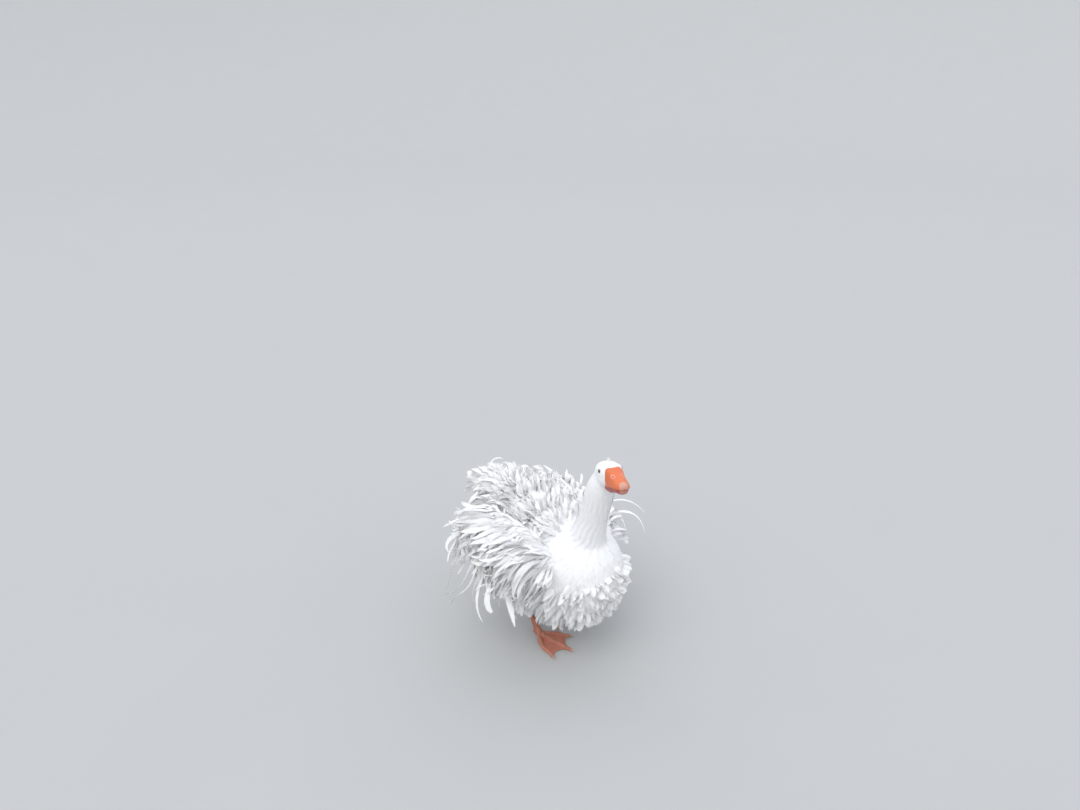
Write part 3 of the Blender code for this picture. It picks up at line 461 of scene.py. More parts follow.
@dataclass(frozen=True)
class FeatherFinish:
    """White plumage: a cool grey painted shade on the hidden root of each feather, clean in the vane and a
    little warm at the tip.
    """

    name: str = "feather_white"
    # The root colour is painted shade for the first part of each feather, which lies in the gaps under the
    # next feathers.
    root: Colour = (0.94, 0.935, 0.95)
    vane: Colour = (0.96, 0.96, 0.965)
    tip: Colour = (0.965, 0.96, 0.945)
    cool: Colour = (0.90, 0.90, 0.935)
    warm: Colour = (0.95, 0.925, 0.87)
    stained: Colour = (0.74, 0.66, 0.55)
    vane_from: float = 0.38
    roughness: float = 0.62
    sheen: float = 0.18

    def material(self, shared: Shared) -> Material:
        """Builds the material.

        Args:
            shared: The node groups by name.

        Returns:
            A material that reads how far along each feather a point is, and the feather's own tone.
        """
        shader = Shader(self.name)
        along, tone, stain = shader.value("along"), shader.value("tone"), shader.value("stain")
        ramp = shader.add("ShaderNodeValToRGB")
        stops = ramp.color_ramp.elements
        # The ramp starts at the root's painted shade and runs to the vane's own white and the tip's own
        # warmth.
        stops[0].color, stops[0].position = (*self.root, 1.0), 0.0
        stops[1].color, stops[1].position = (*self.vane, 1.0), self.vane_from
        stops.new(1.0).color = (*self.tip, 1.0)
        shader.join(along, ramp.inputs["Fac"])
        mottle = shader.group(shared["mottle"], Scale=26.0, Contrast=1.6)
        patch = shader.ranged(mottle.outputs["Mask"], 0.0, 0.22)
        colour = shader.mix(patch, ramp.outputs["Color"], self.cool)
        colour = shader.mix(shader.ranged(tone, 0.0, 0.20), colour, self.warm)
        shader.feed(shader.mix(stain, colour, self.stained), "Base Color")
        shader.fix(Roughness=self.roughness, Specular_IOR_Level=0.25)
        shader.fix(Sheen_Weight=self.sheen, Sheen_Roughness=0.6)
        barbs = shader.group(shared["barbs"], Along=70.0, Across=16.0)
        for label, source in (("Place", along), ("Side", shader.value("side")), ("Tone", tone)):
            shader.join(source, barbs.inputs[label])
        shader.bump(barbs.outputs["Height"], 0.0005, 0.6)
        return shader.material


@dataclass(frozen=True)
class SkinFinish:
    """Down and skin under the feathers."""

    name: str = "down_white"
    colour: Colour = (0.95, 0.945, 0.955)
    grey: Colour = (0.90, 0.89, 0.89)
    # The shade colour is painted shade for the bottoms of the neck's furrows.
    shade: Colour = (0.76, 0.70, 0.73)

    def material(self, shared: Shared) -> Material:
        """Builds the material: fine down, white with a grey mottle, and a pinkish grey painted shade in the
        neck's furrows.
        """
        shader = Shader(self.name)
        mottle = shader.group(shared["mottle"], Scale=120.0, Contrast=1.4)
        base = shader.mix(shader.ranged(mottle.outputs["Mask"], 0.0, 0.45), self.colour, self.grey)
        # The fold value is painted shade, deepest in each furrow of the neck.
        shader.feed(shader.mix(shader.value("fold"), base, self.shade), "Base Color")
        shader.fix(Roughness=0.8, Specular_IOR_Level=0.2)
        down = shader.add("ShaderNodeTexNoise", Scale=1400.0, Detail=3.0)
        shader.join(shader.place(), down.inputs["Vector"])
        shader.bump(down.outputs["Fac"], 0.0008, 0.7)
        return shader.material


@dataclass(frozen=True)
class BillFinish:
    """Satin bill skin with a horny nail, pink nostril rims, near-black painted shade in the nostril pits and
    a darker mouth line.
    """

    name: str
    skin: Colour
    deep: Colour
    nail: Colour = (0.64, 0.32, 0.235)
    rim: Colour = (0.86, 0.33, 0.28)
    # The nostril pit's colour is painted shade, near black, for the pressed-in pits.
    shaded_pit: Colour = (0.16, 0.035, 0.03)
    edge: Colour = (0.36, 0.10, 0.07)

    def material(self, shared: Shared) -> Material:
        """Builds the material from masks that the mesh keeps: nail, rim, the nostril pit's painted shade and
        edge.
        """
        shader = Shader(self.name)
        mottle = shader.group(shared["mottle"], Scale=70.0, Contrast=1.8)
        fine = shader.group(shared["cells"], Scale=900.0, Width=0.25)
        colour = shader.mix(shader.ranged(mottle.outputs["Mask"], 0.0, 0.75), self.skin, self.deep)
        for name, tint in (("rim", self.rim), ("nail", self.nail), ("edge", self.edge), ("shaded_pit", self.shaded_pit)):
            colour = shader.mix(shader.value(name), colour, tint)
        shader.feed(colour, "Base Color")
        shader.feed(shader.ranged(mottle.outputs["Mask"], 0.30, 0.46), "Roughness")
        shader.fix(Subsurface_Weight=0.12, Subsurface_Radius=(0.004, 0.0012, 0.0006), Subsurface_Scale=1.0)
        shader.bump(fine.outputs["Height"], 0.00012, 0.25)
        return shader.material


@dataclass(frozen=True)
class LegFinish:
    """Scaled terracotta skin, paler on the ridges and darker between the scales."""

    name: str = "leg_scales"
    skin: Colour = (0.72, 0.255, 0.16)
    pale: Colour = (0.78, 0.43, 0.30)
    dark: Colour = (0.44, 0.125, 0.08)

    def material(self, shared: Shared) -> Material:
        """Builds the material from the scales' height, the toes' ridges and a mottle of dirt."""
        shader = Shader(self.name)
        cells = shader.group(shared["cells"], Scale=620.0, Width=0.22)
        mottle = shader.group(shared["mottle"], Scale=95.0, Contrast=2.4)
        base = shader.mix(shader.ranged(mottle.outputs["Mask"], 0.0, 0.55), self.skin, self.dark)
        base = shader.mix(shader.ranged(cells.outputs["Tone"], 0.0, 0.30), base, self.pale)
        base = shader.mix(shader.value("ridge"), base, self.pale)
        base = shader.mix(shader.ranged(cells.outputs["Height"], 0.45, 0.0), base, self.dark)
        shader.feed(shader.mix(shader.value("groove"), base, self.dark), "Base Color")
        shader.feed(shader.ranged(mottle.outputs["Mask"], 0.42, 0.62), "Roughness")
        shader.bump(cells.outputs["Height"], 0.0006, 0.8)
        return shader.material


@dataclass(frozen=True)
class HornFinish:
    """Pale claw horn, streaked along and worn at the tip."""

    name: str = "claw_horn"
    horn: Colour = (0.46, 0.27, 0.19)
    streak: Colour = (0.38, 0.24, 0.17)
    worn: Colour = (0.62, 0.46, 0.35)

    def material(self, shared: Shared) -> Material:
        """Builds the material."""
        shader = Shader(self.name)
        mottle = shader.group(shared["mottle"], Scale=420.0, Contrast=1.8)
        base = shader.mix(shader.ranged(mottle.outputs["Mask"], 0.0, 0.5), self.horn, self.streak)
        shader.feed(shader.mix(shader.value("along"), base, self.worn), "Base Color")
        shader.fix(Roughness=0.38)
        shader.bump(mottle.outputs["Mask"], 0.0002, 0.6)
        return shader.material


@dataclass(frozen=True)
class EyeFinish:
    """A dark blue-brown iris round a black pupil, under a wet clear coat."""

    name: str = "eye_dark"
    iris: Colour = (0.030, 0.026, 0.034)
    rim: Colour = (0.075, 0.055, 0.045)
    pupil: Colour = (0.004, 0.004, 0.005)

    def material(self, shared: Shared) -> Material:
        """Builds the material from the mesh's own distance from the pupil's middle."""
        shader = Shader(self.name)
        streak = shader.group(shared["mottle"], Scale=900.0, Contrast=2.0)
        iris = shader.mix(streak.outputs["Mask"], self.iris, self.rim)
        shader.feed(shader.mix(shader.value("pupil"), iris, self.pupil), "Base Color")
        shader.fix(Roughness=0.12, Coat_Weight=1.0, Coat_Roughness=0.03)
        return shader.material


@dataclass(frozen=True)
class LidFinish:
    """Thin bare eyelid skin, pale with a peach rim."""

    name: str = "lid_skin"
    skin: Colour = (0.72, 0.62, 0.58)
    rim: Colour = (0.66, 0.46, 0.38)

    def material(self, shared: Shared) -> Material:
        """Builds the material."""
        shader = Shader(self.name)
        cells = shader.group(shared["cells"], Scale=1600.0, Width=0.3)
        shader.feed(shader.mix(shader.value("rim"), self.skin, self.rim), "Base Color")
        shader.fix(Roughness=0.5)
        shader.bump(cells.outputs["Height"], 0.0002, 0.6)
        return shader.material


@dataclass(frozen=True)
class StageFinish:
    """Pale matt studio paper."""

    name: str = "studio_paper"
    colour: Colour = (0.46, 0.465, 0.46)

    def material(self, shared: Shared) -> Material:
        """Builds the material, with a hint of unevenness."""
        shader = Shader(self.name)
        mottle = shader.group(shared["mottle"], Scale=3.0, Contrast=0.6)
        high = tuple(c * 1.05 for c in self.colour)
        shader.feed(shader.mix(mottle.outputs["Mask"], self.colour, high), "Base Color")
        shader.fix(Roughness=0.9)
        return shader.material


# The body's forms.


@dataclass(frozen=True)
class Egg:
    """A rounded form along Y, with its own depth above and below the axis."""

    front: float
    rear: float
    half_width: float
    rise: float
    drop: float
    power: float = 1.0
    boxiness: float = 1.0

    def rings(self, count: int, sides: int, grow: float) -> Array:
        """Rings from the front tip to the rear tip, grown outward."""
        phi = math.pi * np.arange(1, count) / count
        angle = 2.0 * math.pi * np.arange(sides) / sides
        scale = (np.sin(phi) ** self.power)[:, None]
        back = -np.cos(phi)[:, None]
        height = np.where(np.sin(angle) >= 0.0, self.rise, self.drop)[None]
        y = back * (np.where(back > 0.0, self.rear, self.front) + grow) + 0.0 * angle[None]
        x, z = superellipse(angle[None], self.half_width * scale + grow, height * scale + grow, self.boxiness)
        return np.stack([x, y, z], axis=-1)


@dataclass(frozen=True)
class Trunk:
    """The trunk: blunt at the breast and drawn out at the rump."""

    widest_y: float = -0.030
    front: float = 0.175
    rear: float = 0.208
    half_width: float = 0.116
    rise: float = 0.116
    drop: float = 0.150
    axis_z: float = 0.232
    tail_lift: float = 0.090
    lift_power: float = 1.6
    front_power: float = 0.74
    rear_power: float = 0.92

    def axis(self, phi: Array) -> tuple[Array, Array]:
        """Where the axis is for phi, as (y, z)."""
        back = -np.cos(phi)
        length = np.where(back < 0.0, self.front, self.rear)
        lift = self.tail_lift * np.maximum(0.0, back) ** self.lift_power
        return self.widest_y + back * length, self.axis_z + lift

    def point(self, degrees: Array, share: Array, grow: float = 0.0) -> Array:
        """Points on the trunk, degrees round from the left side and a share of the way to the rump."""
        phi, angle = math.pi * share, np.radians(degrees)
        power = np.where(phi < math.pi / 2, self.front_power, self.rear_power)
        scale = np.sin(phi) ** power
        height = np.where(np.sin(angle) >= 0.0, self.rise, self.drop)
        y, z = self.axis(phi)
        x = np.cos(angle) * (self.half_width * scale + grow)
        return np.stack([x, y - np.cos(phi) * grow, z + np.sin(angle) * (height * scale + grow)], axis=-1)

    def rings(self, count: int, sides: int, grow: float) -> Array:
        """Rings of the trunk's skin."""
        share = (np.arange(1, count) / count)[:, None] + np.zeros((1, sides))
        degrees = (360.0 * np.arange(sides) / sides)[None] + np.zeros((count - 1, 1))
        return self.point(degrees, share, grow)


@dataclass(frozen=True)
class Neck:
    """The neck: a swept tube, wide at the breast."""

    controls: tuple[Point, ...] = (
        (0.0, -0.100, 0.250), (0.0, -0.134, 0.330), (-0.008, -0.152, 0.420), (-0.014, -0.186, 0.516),
    )
    base_radius: float = 0.088
    slim_radius: float = 0.0325
    throat_radius: float = 0.0370
    flare_power: float = 4.2
    round_from: float = 0.74

    def line(self, t: Array) -> Array:
        """Points on the neck's axis."""
        return bezier(np.array(self.controls), t)

    def way(self, t: Array) -> Array:
        """The axis's heading, upward."""
        return bezier_way(np.array(self.controls), t)

    def radius(self, t: Array) -> Array:
        """Slim in the middle, wide at the breast and at the throat, closing in under the head."""
        radius = self.slim_radius + (self.throat_radius - self.slim_radius) * t**1.5
        radius = radius + (self.base_radius - self.slim_radius) * (1.0 - t) ** self.flare_power
        over = np.clip((t - self.round_from) / (1.0 - self.round_from), 0.0, 1.0)
        return radius * np.sqrt(1.0 - 0.75 * over**2)


@dataclass(frozen=True)
class Placed:
    """A form's own frame: where it stands and how it is turned."""

    centre: Point
    yaw: float = 0.0
    pitch: float = 0.0

    @property
    def turn(self) -> Array:
        """The turn as a matrix whose columns are the frame's axes."""
        yaw, pitch = math.radians(self.yaw), math.radians(self.pitch)
        return np.array(Matrix.Rotation(yaw, 3, "Z") @ Matrix.Rotation(pitch, 3, "X"))

    def out(self, points: Array) -> Array:
        """Points of the frame, in the goose's frame."""
        return points @ self.turn.T + np.array(self.centre)

    def inward(self, points: Array) -> Array:
        """Points of the goose's frame, in this frame."""
        return (points - np.array(self.centre)) @ self.turn


TRUNK = Trunk()
NECK = Neck()
HEAD = Egg(0.043, 0.040, 0.0290, 0.0285, 0.0305, 0.60, 0.80)
HEAD_PLACE = Placed((-0.0155, -0.1945, 0.5165), -28.0, -13.5)
WING = Egg(0.140, 0.140, 0.034, 0.078, 0.078, 0.85)
WING_CENTRE = (0.098, 0.022, 0.268)
WING_TILT = 6.0
TAIL = Egg(0.046, 0.046, 0.046, 0.026, 0.026, 0.8)
TAIL_PLACE = Placed((0.0, 0.172, 0.326), 0.0, 16.0)
EYE_PLACE = (0.0230, -0.0110, 0.0108)
EYE_RADIUS = 0.0062
ANKLE_X, ANKLE_Z = 0.053, 0.019
ANKLE_Y = {"right": -0.014, "left": 0.030}
HOCK_SHIFT = np.array((0.004, 0.040, 0.066))
THIGH_TOP_SHIFT = np.array((0.002, -0.008, 0.118))
THIGH_TOP_RADIUS, THIGH_HOCK_RADIUS = 0.047, 0.0150
THIGH_BULGE = 0.022
SHANK_RADIUS = 0.0066


def wing_place(side: float) -> Placed:
    """The frame of one wing's pad."""
    x, y, z = WING_CENTRE
    return Placed((side * x, y, z), 0.0, WING_TILT)


def ankle(side: str) -> Array:
    """Where a leg meets its foot."""
    return np.array((SIDES[side] * ANKLE_X, ANKLE_Y[side], ANKLE_Z))


def mirrored(side: str, shift: Array) -> Array:
    """A shift for the goose's left, turned over for its right."""
    return shift * np.array((SIDES[side], 1.0, 1.0))


def hock(side: str) -> Array:
    """Where a leg's shank meets the feathered thigh."""
    return ankle(side) + mirrored(side, HOCK_SHIFT)


def thigh_line(side: str, t: Array) -> Array:
    """Points down the middle of a thigh."""
    low = hock(side)
    top = low + mirrored(side, THIGH_TOP_SHIFT)
    drop, bulge = low - top, np.array((0.0, -THIGH_BULGE, 0.0))
    return bezier(np.array((top, top + drop * 0.35 + bulge, top + drop * 0.70 + bulge * 0.6, low)), t)


def thigh_radius(t: Array) -> Array:
    """How thick a thigh is, from the body at 0 to the hock at 1."""
    return THIGH_HOCK_RADIUS + (THIGH_TOP_RADIUS - THIGH_HOCK_RADIUS) * (1.0 - t) ** 1.15


def eye_middle(side: float, sink: float = 0.0) -> Array:
    """An eye's middle on one side, sunk into the head."""
    return HEAD_PLACE.out(np.array((side * (EYE_PLACE[0] - sink), EYE_PLACE[1], EYE_PLACE[2])))


def inside_share(form: Egg, local: Array) -> Array:
    """How far out a point is in a form: under 1 is inside."""
    height = np.where(local[..., 2] >= 0.0, form.rise, form.drop)
    length = np.where(local[..., 1] >= 0.0, form.rear, form.front)
    flat = (local[..., 0] / form.half_width) ** 2 + (local[..., 2] / height) ** 2
    return np.sqrt(flat + (local[..., 1] / length) ** 2)


class Zone(Enum):
    """Where on the goose a feather grows."""

    HEAD = 0
    NECK = 1
    BREAST = 2
    BELLY = 3
    BACK = 4
    WING_LEFT = 5
    WING_RIGHT = 6
    RUMP = 7
    THIGHS = 8


@dataclass
class CoatField:
    """What the coat is like at each of many places on the skin."""

    zone: Array
    way: Array
    length: Array
    spacing: Array
    width: Array
    lift: Array
    frizz: Array


NECK_STEPS = 60
BILL_LINE_Y = -0.0335


def neck_share(points: Array) -> tuple[Array, Array]:
    """The nearest place up the neck's axis, as a share of its length, and how far off, in neck radii."""
    t = np.linspace(0.0, 1.0, NECK_STEPS)
    at, off = nearest_on(NECK.line(t), points)
    return t[at], off / NECK.radius(t)[at]


def coat_field(points: Array, normals: Array) -> CoatField:
    """The lie, length and style of the coat over the skin.

    Args:
        points: Places on the skin, in the goose's frame.
        normals: The skin's normals there.

    Returns:
        A field with one row for each place.
    """
    count = len(points)
    x, y, z = points.T
    zone = np.full(count, Zone.BACK.value)
    under = normals[:, 2] < -0.15
    front = eased(-y, 0.055, 0.125)
    zone[(front > 0.25) & (z < 0.36)] = Zone.BREAST.value
    zone[(front <= 0.25) & under] = Zone.BELLY.value
    way = np.stack([0.25 * np.sign(x) * (1.0 - front), 1.0 - 0.55 * front, -0.25 - 0.9 * front], axis=-1)
    low = eased(-z, -0.30, -0.10)
    hang = front * eased(-normals[:, 2], 0.25, 0.80)
    length = 0.040 * (1.0 - front) + (0.021 + 0.015 * low + 0.010 * hang) * front
    spacing = np.where(front > 0.25, 0.27 * length, 0.0070)
    width = np.where(front > 0.25, 0.56, 0.24) * length
    lift = 0.11 + 0.20 * low * front + 0.16 * hang
    frizz = 1.0 - front

    t, off = neck_share(points)
    on_neck = (t > 0.06) & (off < 1.35) & (z > 0.28)
    share = np.where(on_neck, eased(t, 0.04, 0.42), 0.0)
    neck_way = -NECK.way(t)
    way = way * (1.0 - share)[:, None] + neck_way * share[:, None]
    neck_length = 0.013 + 0.007 * (1.0 - eased(t, 0.2, 0.7))
    length = length * (1.0 - share) + neck_length * share
    spacing = np.where(on_neck, np.minimum(spacing, 0.23 * length + 0.0002), spacing)
    width = width * (1.0 - share) + 0.34 * length * share
    lift = lift * (1.0 - share) + 0.018 * share
    frizz = frizz * (1.0 - share)
    zone[on_neck & (t > 0.22)] = Zone.NECK.value

    local = HEAD_PLACE.inward(points)
    on_head = inside_share(HEAD, local) < 1.34
    back = HEAD_PLACE.turn[:, 1] - 0.35 * HEAD_PLACE.turn[:, 2]
    way[on_head] = back[None] + 0.25 * neck_way[on_head]
    size = 0.0060 + 0.0035 * eased(local[:, 1], -0.03, 0.035)
    length[on_head], spacing[on_head] = size[on_head], 0.33 * size[on_head]
    width[on_head], lift[on_head], frizz[on_head] = 0.44 * size[on_head], 0.008, 0.0
    zone[on_head] = Zone.HEAD.value

    for name, side in SIDES.items():
        inner = wing_place(side).inward(points)
        on_wing = (inside_share(WING, inner) < 1.10) & (zone != Zone.NECK.value) & (side * x > 0.085)
        fit = on_wing & (front < 0.8)
        fall = -0.55 - 0.5 * (inner[:, 2] < 0)
        way[fit] = np.stack([0.25 * side + 0.0 * x, 0.75 + 0.0 * x, fall], axis=-1)[fit]
        length[fit], spacing[fit], width[fit] = 0.044, 0.0074, 0.010
        lift[fit], frizz[fit] = 0.15, 1.0
        zone[fit] = Zone.WING_LEFT.value if side > 0 else Zone.WING_RIGHT.value
        low_t = np.linspace(0.0, 1.0, 24)
        at, off = nearest_on(thigh_line(name, low_t), points)
        on_thigh = (off < thigh_radius(low_t)[at] + 0.010) & (z < 0.165)
        way[on_thigh] = np.array((0.15 * side, 0.35, -1.0))
        drop = 0.030 - 0.014 * low_t[at]
        length[on_thigh], spacing[on_thigh] = drop[on_thigh], 0.0068
        width[on_thigh], lift[on_thigh], frizz[on_thigh] = 0.010, 0.12, 0.35
        zone[on_thigh] = Zone.THIGHS.value

    on_tail = inside_share(TAIL, TAIL_PLACE.inward(points)) < 1.15
    rump = (y > 0.135) & (z > 0.24) & (zone == Zone.BACK.value) | on_tail
    zone[rump] = Zone.RUMP.value
    way[rump] = np.array((0.0, 1.0, 0.25)) + 0.35 * np.sign(x[rump])[:, None] * SIDEWAYS
    way = unit(way - normals * (way * normals).sum(-1, keepdims=True))
    return CoatField(zone, way, length, spacing, width, lift, frizz)


class Skin:
    """The seamless skin of the whole body, and the surface that feathers stand on."""

    core_depth: float = 0.0020
    voxel: float = 0.0032
    furrow_depth: float = 0.0022
    crowding: float = 2.6
    room: float = 0.80

    def __init__(self, material: Material) -> None:
        """Fuses the forms into one skin, shapes the face and furrows the neck."""
        self.object = mesh_of("skin", *self.forms(), material)
        remeshed(self.object, self.voxel, 18)
        self.sculpt()
        unwrapped(self.object)
        self.read()

    def forms(self) -> Form:
        """The overlapping closed forms of the body, shrunk by the depth of the core.

        Returns:
            Vertices and faces of all of them together.
        """
        grow = -self.core_depth
        t = np.linspace(0.0, 1.0, 40)
        made = [TRUNK.rings(48, 56, grow), tube(NECK.line(t), NECK.radius(t) + grow, 40, SIDEWAYS)]
        made += [HEAD_PLACE.out(HEAD.rings(28, 36, grow)), TAIL_PLACE.out(TAIL.rings(20, 30, grow))]
        t = np.linspace(0.0, 1.0, 20)
        for name, side in SIDES.items():
            made.append(wing_place(side).out(WING.rings(30, 36, grow)))
            made.append(tube(thigh_line(name, t), thigh_radius(t) + grow, 28, SIDEWAYS))
        return joined([closed_loft(rings) for rings in made])

    def sculpt(self) -> None:
        """Furrows the neck, and raises a rim and a brow at each eye, with a hollow round the rim."""
        points, normals = points_of(self.object)
        t, off = neck_share(points)
        out = points - NECK.line(t)
        angle = np.arctan2((out * np.cross(NECK.way(t), SIDEWAYS)).sum(-1), out[:, 0])
        wave = np.sin(17.0 * angle + 4.0 * np.sin(9.0 * t) + 1.3 * np.sin(31.0 * t))
        band = eased(t, 0.16, 0.34) * (1.0 - eased(t, 0.80, 0.90)) * (off < 1.4)
        depth = band * (0.5 - 0.5 * wave)
        points = points - normals * (self.furrow_depth * depth)[:, None]
        for side in SIDES.values():
            middle = eye_middle(side)
            brow = middle + HEAD_PLACE.turn @ np.array((side * 0.001, -0.002, 0.0085))
            near = np.linalg.norm(points - middle, axis=-1)
            high = np.linalg.norm(points - brow, axis=-1)
            rim, hollow = bell(near, 0.0075, 0.0045), bell(near, 0.0125, 0.0022)
            for rise in (0.0014 * rim, -0.0006 * hollow, 0.0012 * bell(high, 0.0, 0.0048)):
                points = points + normals * rise[:, None]
        move_points(self.object, points)
        # The fold value is painted shade, as deep as each furrow, on the front of the neck.
        set_values(self.object, "fold", 0.55 * depth * eased(-points[:, 1], 0.10, 0.16))

    def read(self) -> None:
        """Keeps the finished skin as arrays and a search tree."""
        mesh = self.object.data
        self.points, self.point_normals = points_of(self.object)
        mesh.calc_loop_triangles()
        count = len(mesh.loop_triangles)
        corners, loops = np.empty(count * 3, np.int32), np.empty(count * 3, np.int32)
        mesh.loop_triangles.foreach_get("vertices", corners)
        mesh.loop_triangles.foreach_get("loops", loops)
        self.corners = corners.reshape(-1, 3)
        uv = np.empty(len(mesh.loops) * 2, np.float32)
        mesh.uv_layers[BAKE_MAP].uv.foreach_get("vector", uv)
        self.corner_uv = uv.reshape(-1, 2)[loops.reshape(-1, 3)]
        self.tree = BVHTree.FromPolygons(self.points.tolist(), self.corners.tolist())

    def nearest(self, points: Array) -> tuple[Array, Array, Array]:
        """The nearest places on the skin.

        Args:
            points: Any points.

        Returns:
            The places, their smooth normals and the triangles that they are in.
        """
        flat = points.reshape(-1, 3)
        found = [self.tree.find_nearest(Vector(p)) for p in flat.tolist()]
        places = np.array([f[0] for f in found])
        index = np.array([f[2] for f in found])
        shares = self.shares(places, index)
        normals = unit((self.point_normals[self.corners[index]] * shares[..., None]).sum(1))
        shape = points.shape
        return places.reshape(shape), normals.reshape(shape), index.reshape(shape[:-1])

    def shares(self, places: Array, index: Array) -> Array:
        """How much of each corner a place in a triangle is."""
        a, b, c = (self.points[self.corners[index, k]] for k in range(3))
        ab, ac, ap = b - a, c - a, places - a
        d00, d01, d11 = (ab * ab).sum(-1), (ab * ac).sum(-1), (ac * ac).sum(-1)
        d20, d21 = (ap * ab).sum(-1), (ap * ac).sum(-1)
        base = np.maximum(d00 * d11 - d01 * d01, 1e-20)
        v, w = (d11 * d20 - d01 * d21) / base, (d00 * d21 - d01 * d20) / base
        return np.clip(np.stack([1.0 - v - w, v, w], axis=-1), 0.0, 1.0)

    def uv_at(self, points: Array) -> Array:
        """The unwrap's places of the skin nearest to some points."""
        places, _, index = self.nearest(points)
        return (self.corner_uv[index] * self.shares(places, index)[..., None]).sum(1)

    def scatter(self, seed: int) -> tuple[Array, Array, CoatField]:
        """Evenly spread places for feathers to grow from, closer where they are smaller.

        Args:
            seed: Seeds the spread.

        Returns:
            The places, the skin's normals and the coat's field there.
        """
        draw = np.random.default_rng(seed)
        a, b, c = (self.points[self.corners[:, k]] for k in range(3))
        cross = np.cross(b - a, c - a)
        area = np.linalg.norm(cross, axis=-1) / 2.0
        field = coat_field((a + b + c) / 3.0, unit(cross))
        weight = area / field.spacing**2
        wanted = int(weight.sum() * self.crowding)
        chosen = draw.choice(len(area), size=wanted, p=weight / weight.sum())
        r1, r2 = np.sqrt(draw.random(wanted)), draw.random(wanted)
        mix = np.stack([1.0 - r1, r1 * (1.0 - r2), r1 * r2], axis=-1)
        corner = self.corners[chosen]
        places = (self.points[corner] * mix[..., None]).sum(1)
        normals = unit((self.point_normals[corner] * mix[..., None]).sum(1))
        reach = self.room * field.spacing[chosen]
        tree = KDTree(wanted)
        for number, place in enumerate(places.tolist()):
            tree.insert(place, number)
        tree.balance()
        free, kept = np.ones(wanted, bool), []
        for number, place in enumerate(places.tolist()):
            if free[number]:
                kept.append(number)
                for _, other, _ in tree.find_range(place, reach[number]):
                    free[other] = False
        kept = np.array(kept)
        places, normals = places[kept], normals[kept]
        shown = ~self.bare(places)
        places, normals = places[shown], normals[shown]
        return places, normals, coat_field(places, normals)

    def bare(self, places: Array) -> Array:
        """Where no feather grows: under the bill, on the eyes and where the legs come out."""
        local = HEAD_PLACE.inward(places)
        bill = (local[:, 1] < BILL_LINE_Y + 0.25 * np.abs(local[:, 0])) & (local[:, 2] > -0.024)
        bare = bill & (np.abs(local[:, 0]) < 0.021)
        for name, side in SIDES.items():
            bare |= np.linalg.norm(places - eye_middle(side), axis=-1) < EYE_RADIUS + 0.0012
            bare |= np.linalg.norm(places - hock(name), axis=-1) < 0.010
        return bare


# Feathers.


@dataclass(frozen=True)
class Vane:
    """How a feather's vane is cut.

    steps are its points along and wide those across its smooth blade, which takes the core's share of
    the width. cup is how far the edges fall, profile the width along the feather, and tuck how far the
    tip turns down. The rest of the width is barbs: barbs clumps on each side in so many parts, leaning
    from the shaft by lean degrees at the root and the tip. fray is how unlike one another they are, and
    cover how wide each is against its room. shaft is half the shaft's width.
    """

    steps: int
    wide: int
    cup: float
    profile: tuple[float, ...]
    tuck: float = 0.0
    core: float = 1.0
    barbs: int = 0
    parts: int = 1
    lean: tuple[float, float] = (0.0, 0.0)
    fray: float = 0.0
    cover: float = 0.0
    shaft: float = 0.0


class Style(Enum):
    """The kinds of feather on the goose."""

    VELVET = Vane(3, 3, 0.05, (0.5, 0.95, 0.9, 0.1), tuck=0.2)
    NECK = Vane(4, 3, 0.10, (0.5, 0.9, 1.0, 0.75, 0.1), tuck=0.2)
    PUFF = Vane(
        7, 5, 0.22, (0.4, 0.8, 0.98, 1.0, 0.90, 0.62, 0.14),
        tuck=0.46, core=0.90, barbs=20, lean=(38.0, 20.0), fray=0.35, cover=1.5,
    )
    LOBE = Vane(
        9, 5, 0.26, (0.4, 0.75, 0.95, 1.0, 0.98, 0.82, 0.34),
        core=0.90, barbs=30, lean=(34.0, 18.0), fray=0.35, cover=1.5,
    )
    FLUFF = Vane(
        8, 3, 0.14, (0.5, 0.9, 1.0, 0.85, 0.5, 0.10),
        tuck=0.2, core=0.62, barbs=12, lean=(24.0, 12.0), fray=0.40, cover=1.1,
    )
    PLUME = Vane(
        16, 3, 0.14, (0.4, 0.7, 0.95, 1.0, 0.86, 0.55, 0.10),
        core=0.72, barbs=40, lean=(21.0, 11.0), fray=0.32, cover=1.3, shaft=0.0004,
    )
    PADDLE = Vane(
        16, 4, 0.16, (0.35, 0.6, 0.8, 0.95, 1.0, 0.88, 0.30),
        core=0.82, barbs=40, lean=(24.0, 12.0), fray=0.25, cover=1.4, shaft=0.0005,
    )
    WISP = Vane(16, 2, 0.10, (0.5, 0.8, 1.0, 0.8, 0.6, 0.12), fray=0.30)
    STREAMER = Vane(
        20, 4, 0.18, (0.4, 0.7, 0.9, 1.0, 1.0, 0.5),
        core=0.60, barbs=44, parts=2, lean=(16.0, 7.0), fray=0.40, cover=1.3, shaft=0.0006,
    )


CURL_LOCKS, SWIRL_LOCKS, SPIN_LOCKS, PHASE_LOCKS, RISE_LOCKS, SWAY_LOCKS = range(3, 9)
LOCK_WAVES = 7
LOCK_RATE = 62.0


@dataclass
class Spines:
    """The midribs of many feathers: places, and the ways ahead, across and up from the vane, at each step."""

    place: Array
    ahead: Array
    across: Array
    face: Array
    half_width: Array

    @property
    def length(self) -> Array:
        """Each midrib's length."""
        return np.linalg.norm(np.diff(self.place, axis=1), axis=-1).sum(1)


